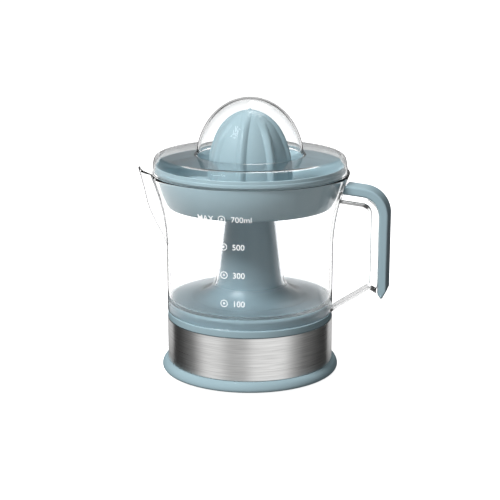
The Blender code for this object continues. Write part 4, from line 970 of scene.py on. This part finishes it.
bowl_low, bowl_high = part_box("juice_bowl")
bowl_rim_radius = bowl_high.x
bowl_floor, bowl_floor_radius, bowl_wall = bowl_low.z, 60.3 * mm, 1.8 * mm
bowl_rim_base = bowl_high.z - 5.4 * mm
bowl_top_radius = 68 * mm
bowl_hub_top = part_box("pulp_strainer")[0].z + 3.1 * mm
hub_bore = column_radius(bowl_floor) + sleeve_gap + sleeve_wall + 1.2 * mm
hub_radius = hub_bore + 2 * mm
hub_upper_bore, hub_step = column_radius(sleeve_top) + 0.9 * mm, sleeve_top + 0.3 * mm
spindle_hole = 5.3 * mm


def bowl_wall_radius(height):
    """The bulging wall, which stands up straighter towards the rim."""
    rise = max(0.0, (height - bowl_floor) / (bowl_rim_base - bowl_floor))
    return bowl_floor_radius + (bowl_top_radius - bowl_floor_radius) * math.sin(math.pi / 2 * rise) ** 0.9


bowl_wall_base = bowl_floor + 1.5 * mm
bowl_rise = bowl_rim_base - bowl_floor - 1.5 * mm
bowl_levels = [bowl_wall_base + bowl_rise * step / 14 for step in range(15)]
bowl_outline = [(hub_bore, bowl_floor), (bowl_floor_radius - 1.6 * mm, bowl_floor)]
bowl_outline += [(bowl_floor_radius + 0.1 * mm, bowl_floor + 0.5 * mm)]
bowl_outline += [(bowl_wall_radius(level), level) for level in bowl_levels]
bowl_outline += rounded(
    [
        (bowl_rim_radius - 0.6 * mm, bowl_rim_base, 0.3 * mm),
        (bowl_rim_radius, bowl_rim_base + 0.5 * mm, 0.4 * mm),
        (bowl_rim_radius - 0.1 * mm, bowl_rim_base + 2.6 * mm, 0.2 * mm),
        (bowl_rim_radius - 0.5 * mm, bowl_rim_base + 2.8 * mm, 0.2 * mm),
        (bowl_rim_radius - 0.7 * mm, bowl_high.z, 0.6 * mm),
        (bowl_rim_radius - bowl_wall, bowl_high.z, 0.5 * mm),
        (bowl_wall_radius(bowl_rim_base) - bowl_wall, bowl_rim_base, 0.5 * mm),
    ],
    5,
)
bowl_outline += [(bowl_wall_radius(level) - bowl_wall, level) for level in reversed(bowl_levels[1:-1])]
bowl_outline += rounded(
    [
        (bowl_floor_radius - 1.4 * mm, bowl_floor + bowl_wall, 1.0 * mm),
        (hub_radius, bowl_floor + bowl_wall, 1.5 * mm),
        (hub_radius, bowl_hub_top, 0.8 * mm),
        (spindle_hole, bowl_hub_top, 0.3 * mm),
        (spindle_hole, bowl_hub_top - 2 * mm, 0),
        (hub_upper_bore, bowl_hub_top - 2 * mm, 0),
        (hub_upper_bore, hub_step, 0),
        (hub_bore, hub_step, 0),
    ]
)
bowl = finished("juice_bowl_shell", turn(bowl_outline, 240), blue_grey, "bowl", "juice_bowl")
drain_reach, drain_radius = hub_radius + 7 * mm, 4 * mm
drains = bmesh.new()
for quarter in range(4):
    angle = quarter * math.pi / 2
    place = drain_reach * Vector((math.cos(angle), math.sin(angle)))
    turn(peg(drain_radius, bowl_floor - 1 * mm, bowl_floor + 3 * mm), 40, place, drains)
hole_through(bowl, "drain_holes", drains)


# ------------------------------------------------------------------ pulp strainer
# A flat slotted ring that lies in the bowl under the cone and holds back pips and pulp. Its raised
# middle caps the bowl's hub and carries the collar in which the drive hub turns.

strainer_low, strainer_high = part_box("pulp_strainer")
strainer_edge = strainer_high.x
strainer_level, strainer_thickness = strainer_low.z, 1.8 * mm
cap_bore = hub_radius + 0.6 * mm
cap_height = strainer_level + 3.4 * mm
collar_bore = 8.3 * mm
strainer_outline = rounded(
    [
        (collar_bore, cap_height, 0),
        (cap_bore, cap_height, 0),
        (cap_bore, strainer_level, 0),
        (strainer_edge, strainer_level, 0.3 * mm),
        (strainer_edge, strainer_level + 2.8 * mm, 0.3 * mm),
        (strainer_edge - 1.4 * mm, strainer_level + 2.8 * mm, 0.3 * mm),
        (strainer_edge - 2 * mm, strainer_level + strainer_thickness, 0.4 * mm),
        (cap_bore + 1.8 * mm, strainer_level + strainer_thickness, 1.0 * mm),
        (cap_bore + 1.8 * mm, cap_height + 1.8 * mm, 1.0 * mm),
        (collar_bore + 2 * mm, cap_height + 1.8 * mm, 0.8 * mm),
        (collar_bore + 2 * mm, strainer_high.z, 0.4 * mm),
        (collar_bore, strainer_high.z, 0.3 * mm),
    ]
)
strainer = finished("pulp_strainer_disc", turn(strainer_outline, 192), blue_grey, "strainer", "pulp_strainer")
slot_count, slot_width = 24, 1.8 * mm
slot_middle, slot_length = 45.5 * mm, 23 * mm
slots = bmesh.new()
for number in range(slot_count):
    angle = 2 * math.pi * (number + 0.5) / slot_count
    made = bmesh.ops.create_cube(slots, size=1)
    for vert in made["verts"]:
        out = slot_middle + vert.co.x * slot_length
        across = vert.co.y * slot_width
        vert.co.z = strainer_level + vert.co.z * 8 * mm
        vert.co.x = out * math.cos(angle) - across * math.sin(angle)
        vert.co.y = out * math.sin(angle) + across * math.cos(angle)
hole_through(strainer, "strainer_slots", slots)

carried_over(acetal, "drive_hub")


# ------------------------------------------------------------------ cone
# The hollow reamer, with eight ribs: four run to its tip and four stop below it. It sits on the
# drive hub's hexagon and sinks with the spindle when fruit is pressed onto it.

cone_low, cone_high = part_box("reamer_cone")
cone_base, cone_top = cone_low.z, cone_high.z
cone_radius, cone_wall = 29.6 * mm, 2.4 * mm
rib_height, rib_half = cone_high.x - cone_radius, 3.7 * mm
cone_body_top = cone_top - 1.2 * mm


def cone_body(height):
    """The cone's own radius, between its ribs."""
    start = cone_base + 2.5 * mm
    rise = min(1.0, max(0.0, (height - start) / (cone_body_top - start)))
    return cone_radius * math.sqrt(1 - rise**2.05)


def rib(angle, height):
    """How far a rib stands out of the cone here; even ribs are the long ones."""
    sector = math.radians(45)
    number = round(angle / sector)
    off = abs(angle - number * sector) * max(cone_body(height), 2.5 * mm)
    crest = max(0.0, 1 - off / rib_half)
    crest = 1 - (1 - crest) ** 1.6 if crest else 0.0
    fade_top = cone_top + 1 * mm if number % 2 == 0 else cone_top - 8 * mm
    fade = min(1.0, max(0.0, (fade_top - height) / (13 * mm)))
    return rib_height * crest * fade**0.6


def cone_ring(height, inset=0.0):
    """One ribbed ring of the cone's outside, moved inwards by `inset`."""
    return lambda angle: cone_body(height) + rib(angle, height) - inset


edge_break = 0.4 * mm
cone_rise = cone_body_top - cone_base
cone_heights = [cone_base + cone_rise * math.sin(math.pi / 2 * step / 44) for step in range(44)]
cone_outline = [(cone_ring(cone_base, edge_break), cone_base)]
for height in [cone_base + edge_break] + cone_heights[1:]:
    cone_outline.append((cone_ring(height), height))

# the hexagonal socket for the drive hub, in a boss under the tip
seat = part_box("drive_spindle")[1].z + 0.4 * mm
socket_flat = 8 * mm
boss_radius, boss_base = 2 * socket_flat / math.sqrt(3) + 3 * mm, cone_base + 7.4 * mm


def socket_wall(angle):
    """The distance from the axis to the hexagon's wall."""
    return socket_flat / math.cos(angle % math.radians(60) - math.radians(30))


cone_outline += [(0, cone_top), (0, seat), (socket_wall, seat), (socket_wall, boss_base)]
cone_outline += [(boss_radius, boss_base), (boss_radius, seat + 2 * mm)]
for height in reversed(cone_heights):
    if height < seat + 3 * mm:
        cone_outline.append((cone_body(height) - cone_wall, height))
cone = finished("ribbed_cone", turn(cone_outline, 384), blue_grey, "cone", "reamer_cone")


# ------------------------------------------------------------------ dust cover
# A clear lid of one even wall: its skirt stands on the jug's rim outside the bowl, and its dome
# rises over the cone.

lid_low, lid_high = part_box("dust_cover")
lid_wall = 1.4 * mm
lid_radius, lid_base = lid_high.x, lid_low.z
shoulder_radius, shoulder = 70.2 * mm, 162.3 * mm
dome_radius, dome_center, dome_top = 39.6 * mm, 158 * mm, lid_high.z
dome_steps = 48


def lid_side(inset):
    """Half the lid's section from skirt to tip, moved inwards by `inset`."""
    top = shoulder - inset
    dome_width, dome_rise = dome_radius - inset, dome_top - inset - dome_center
    start = math.asin((top - dome_center + 2.4 * mm) / dome_rise)
    points = rounded(
        [
            (lid_radius - inset, lid_base, 0),
            (shoulder_radius - inset, top - 0.4 * mm, 4.4 * mm - 0.3 * inset),
            (dome_width + 0.6 * mm, top, 1.6 * mm),
            (dome_width * math.cos(start), dome_center + dome_rise * math.sin(start), 0),
        ],
        8,
    )
    for step in range(1, dome_steps + 1):
        turned = start + (math.pi / 2 - start) * step / dome_steps
        radius = 0 if step == dome_steps else dome_width * math.cos(turned)
        points.append((radius, dome_center + dome_rise * math.sin(turned)))
    return points


lid_outline = lid_side(0) + list(reversed(lid_side(lid_wall)))
lid = finished("domed_dust_cover", turn(lid_outline, 240), clear, "cover", "dust_cover")

# the flat shoulder carries a painted shade, darker than the skirt and the dome, that darkens the cone's foot
# seen through it
lid.data.materials.append(clear_plastic("shoulder_painted_shade_plastic", (0.80, 0.82, 0.83), 0.01, 1.2))
for face in lid.data.polygons:
    if dome_radius + 1 * mm < face.center.xy.length < shoulder_radius - 3 * mm:
        face.material_index = 1
see_through(lid)
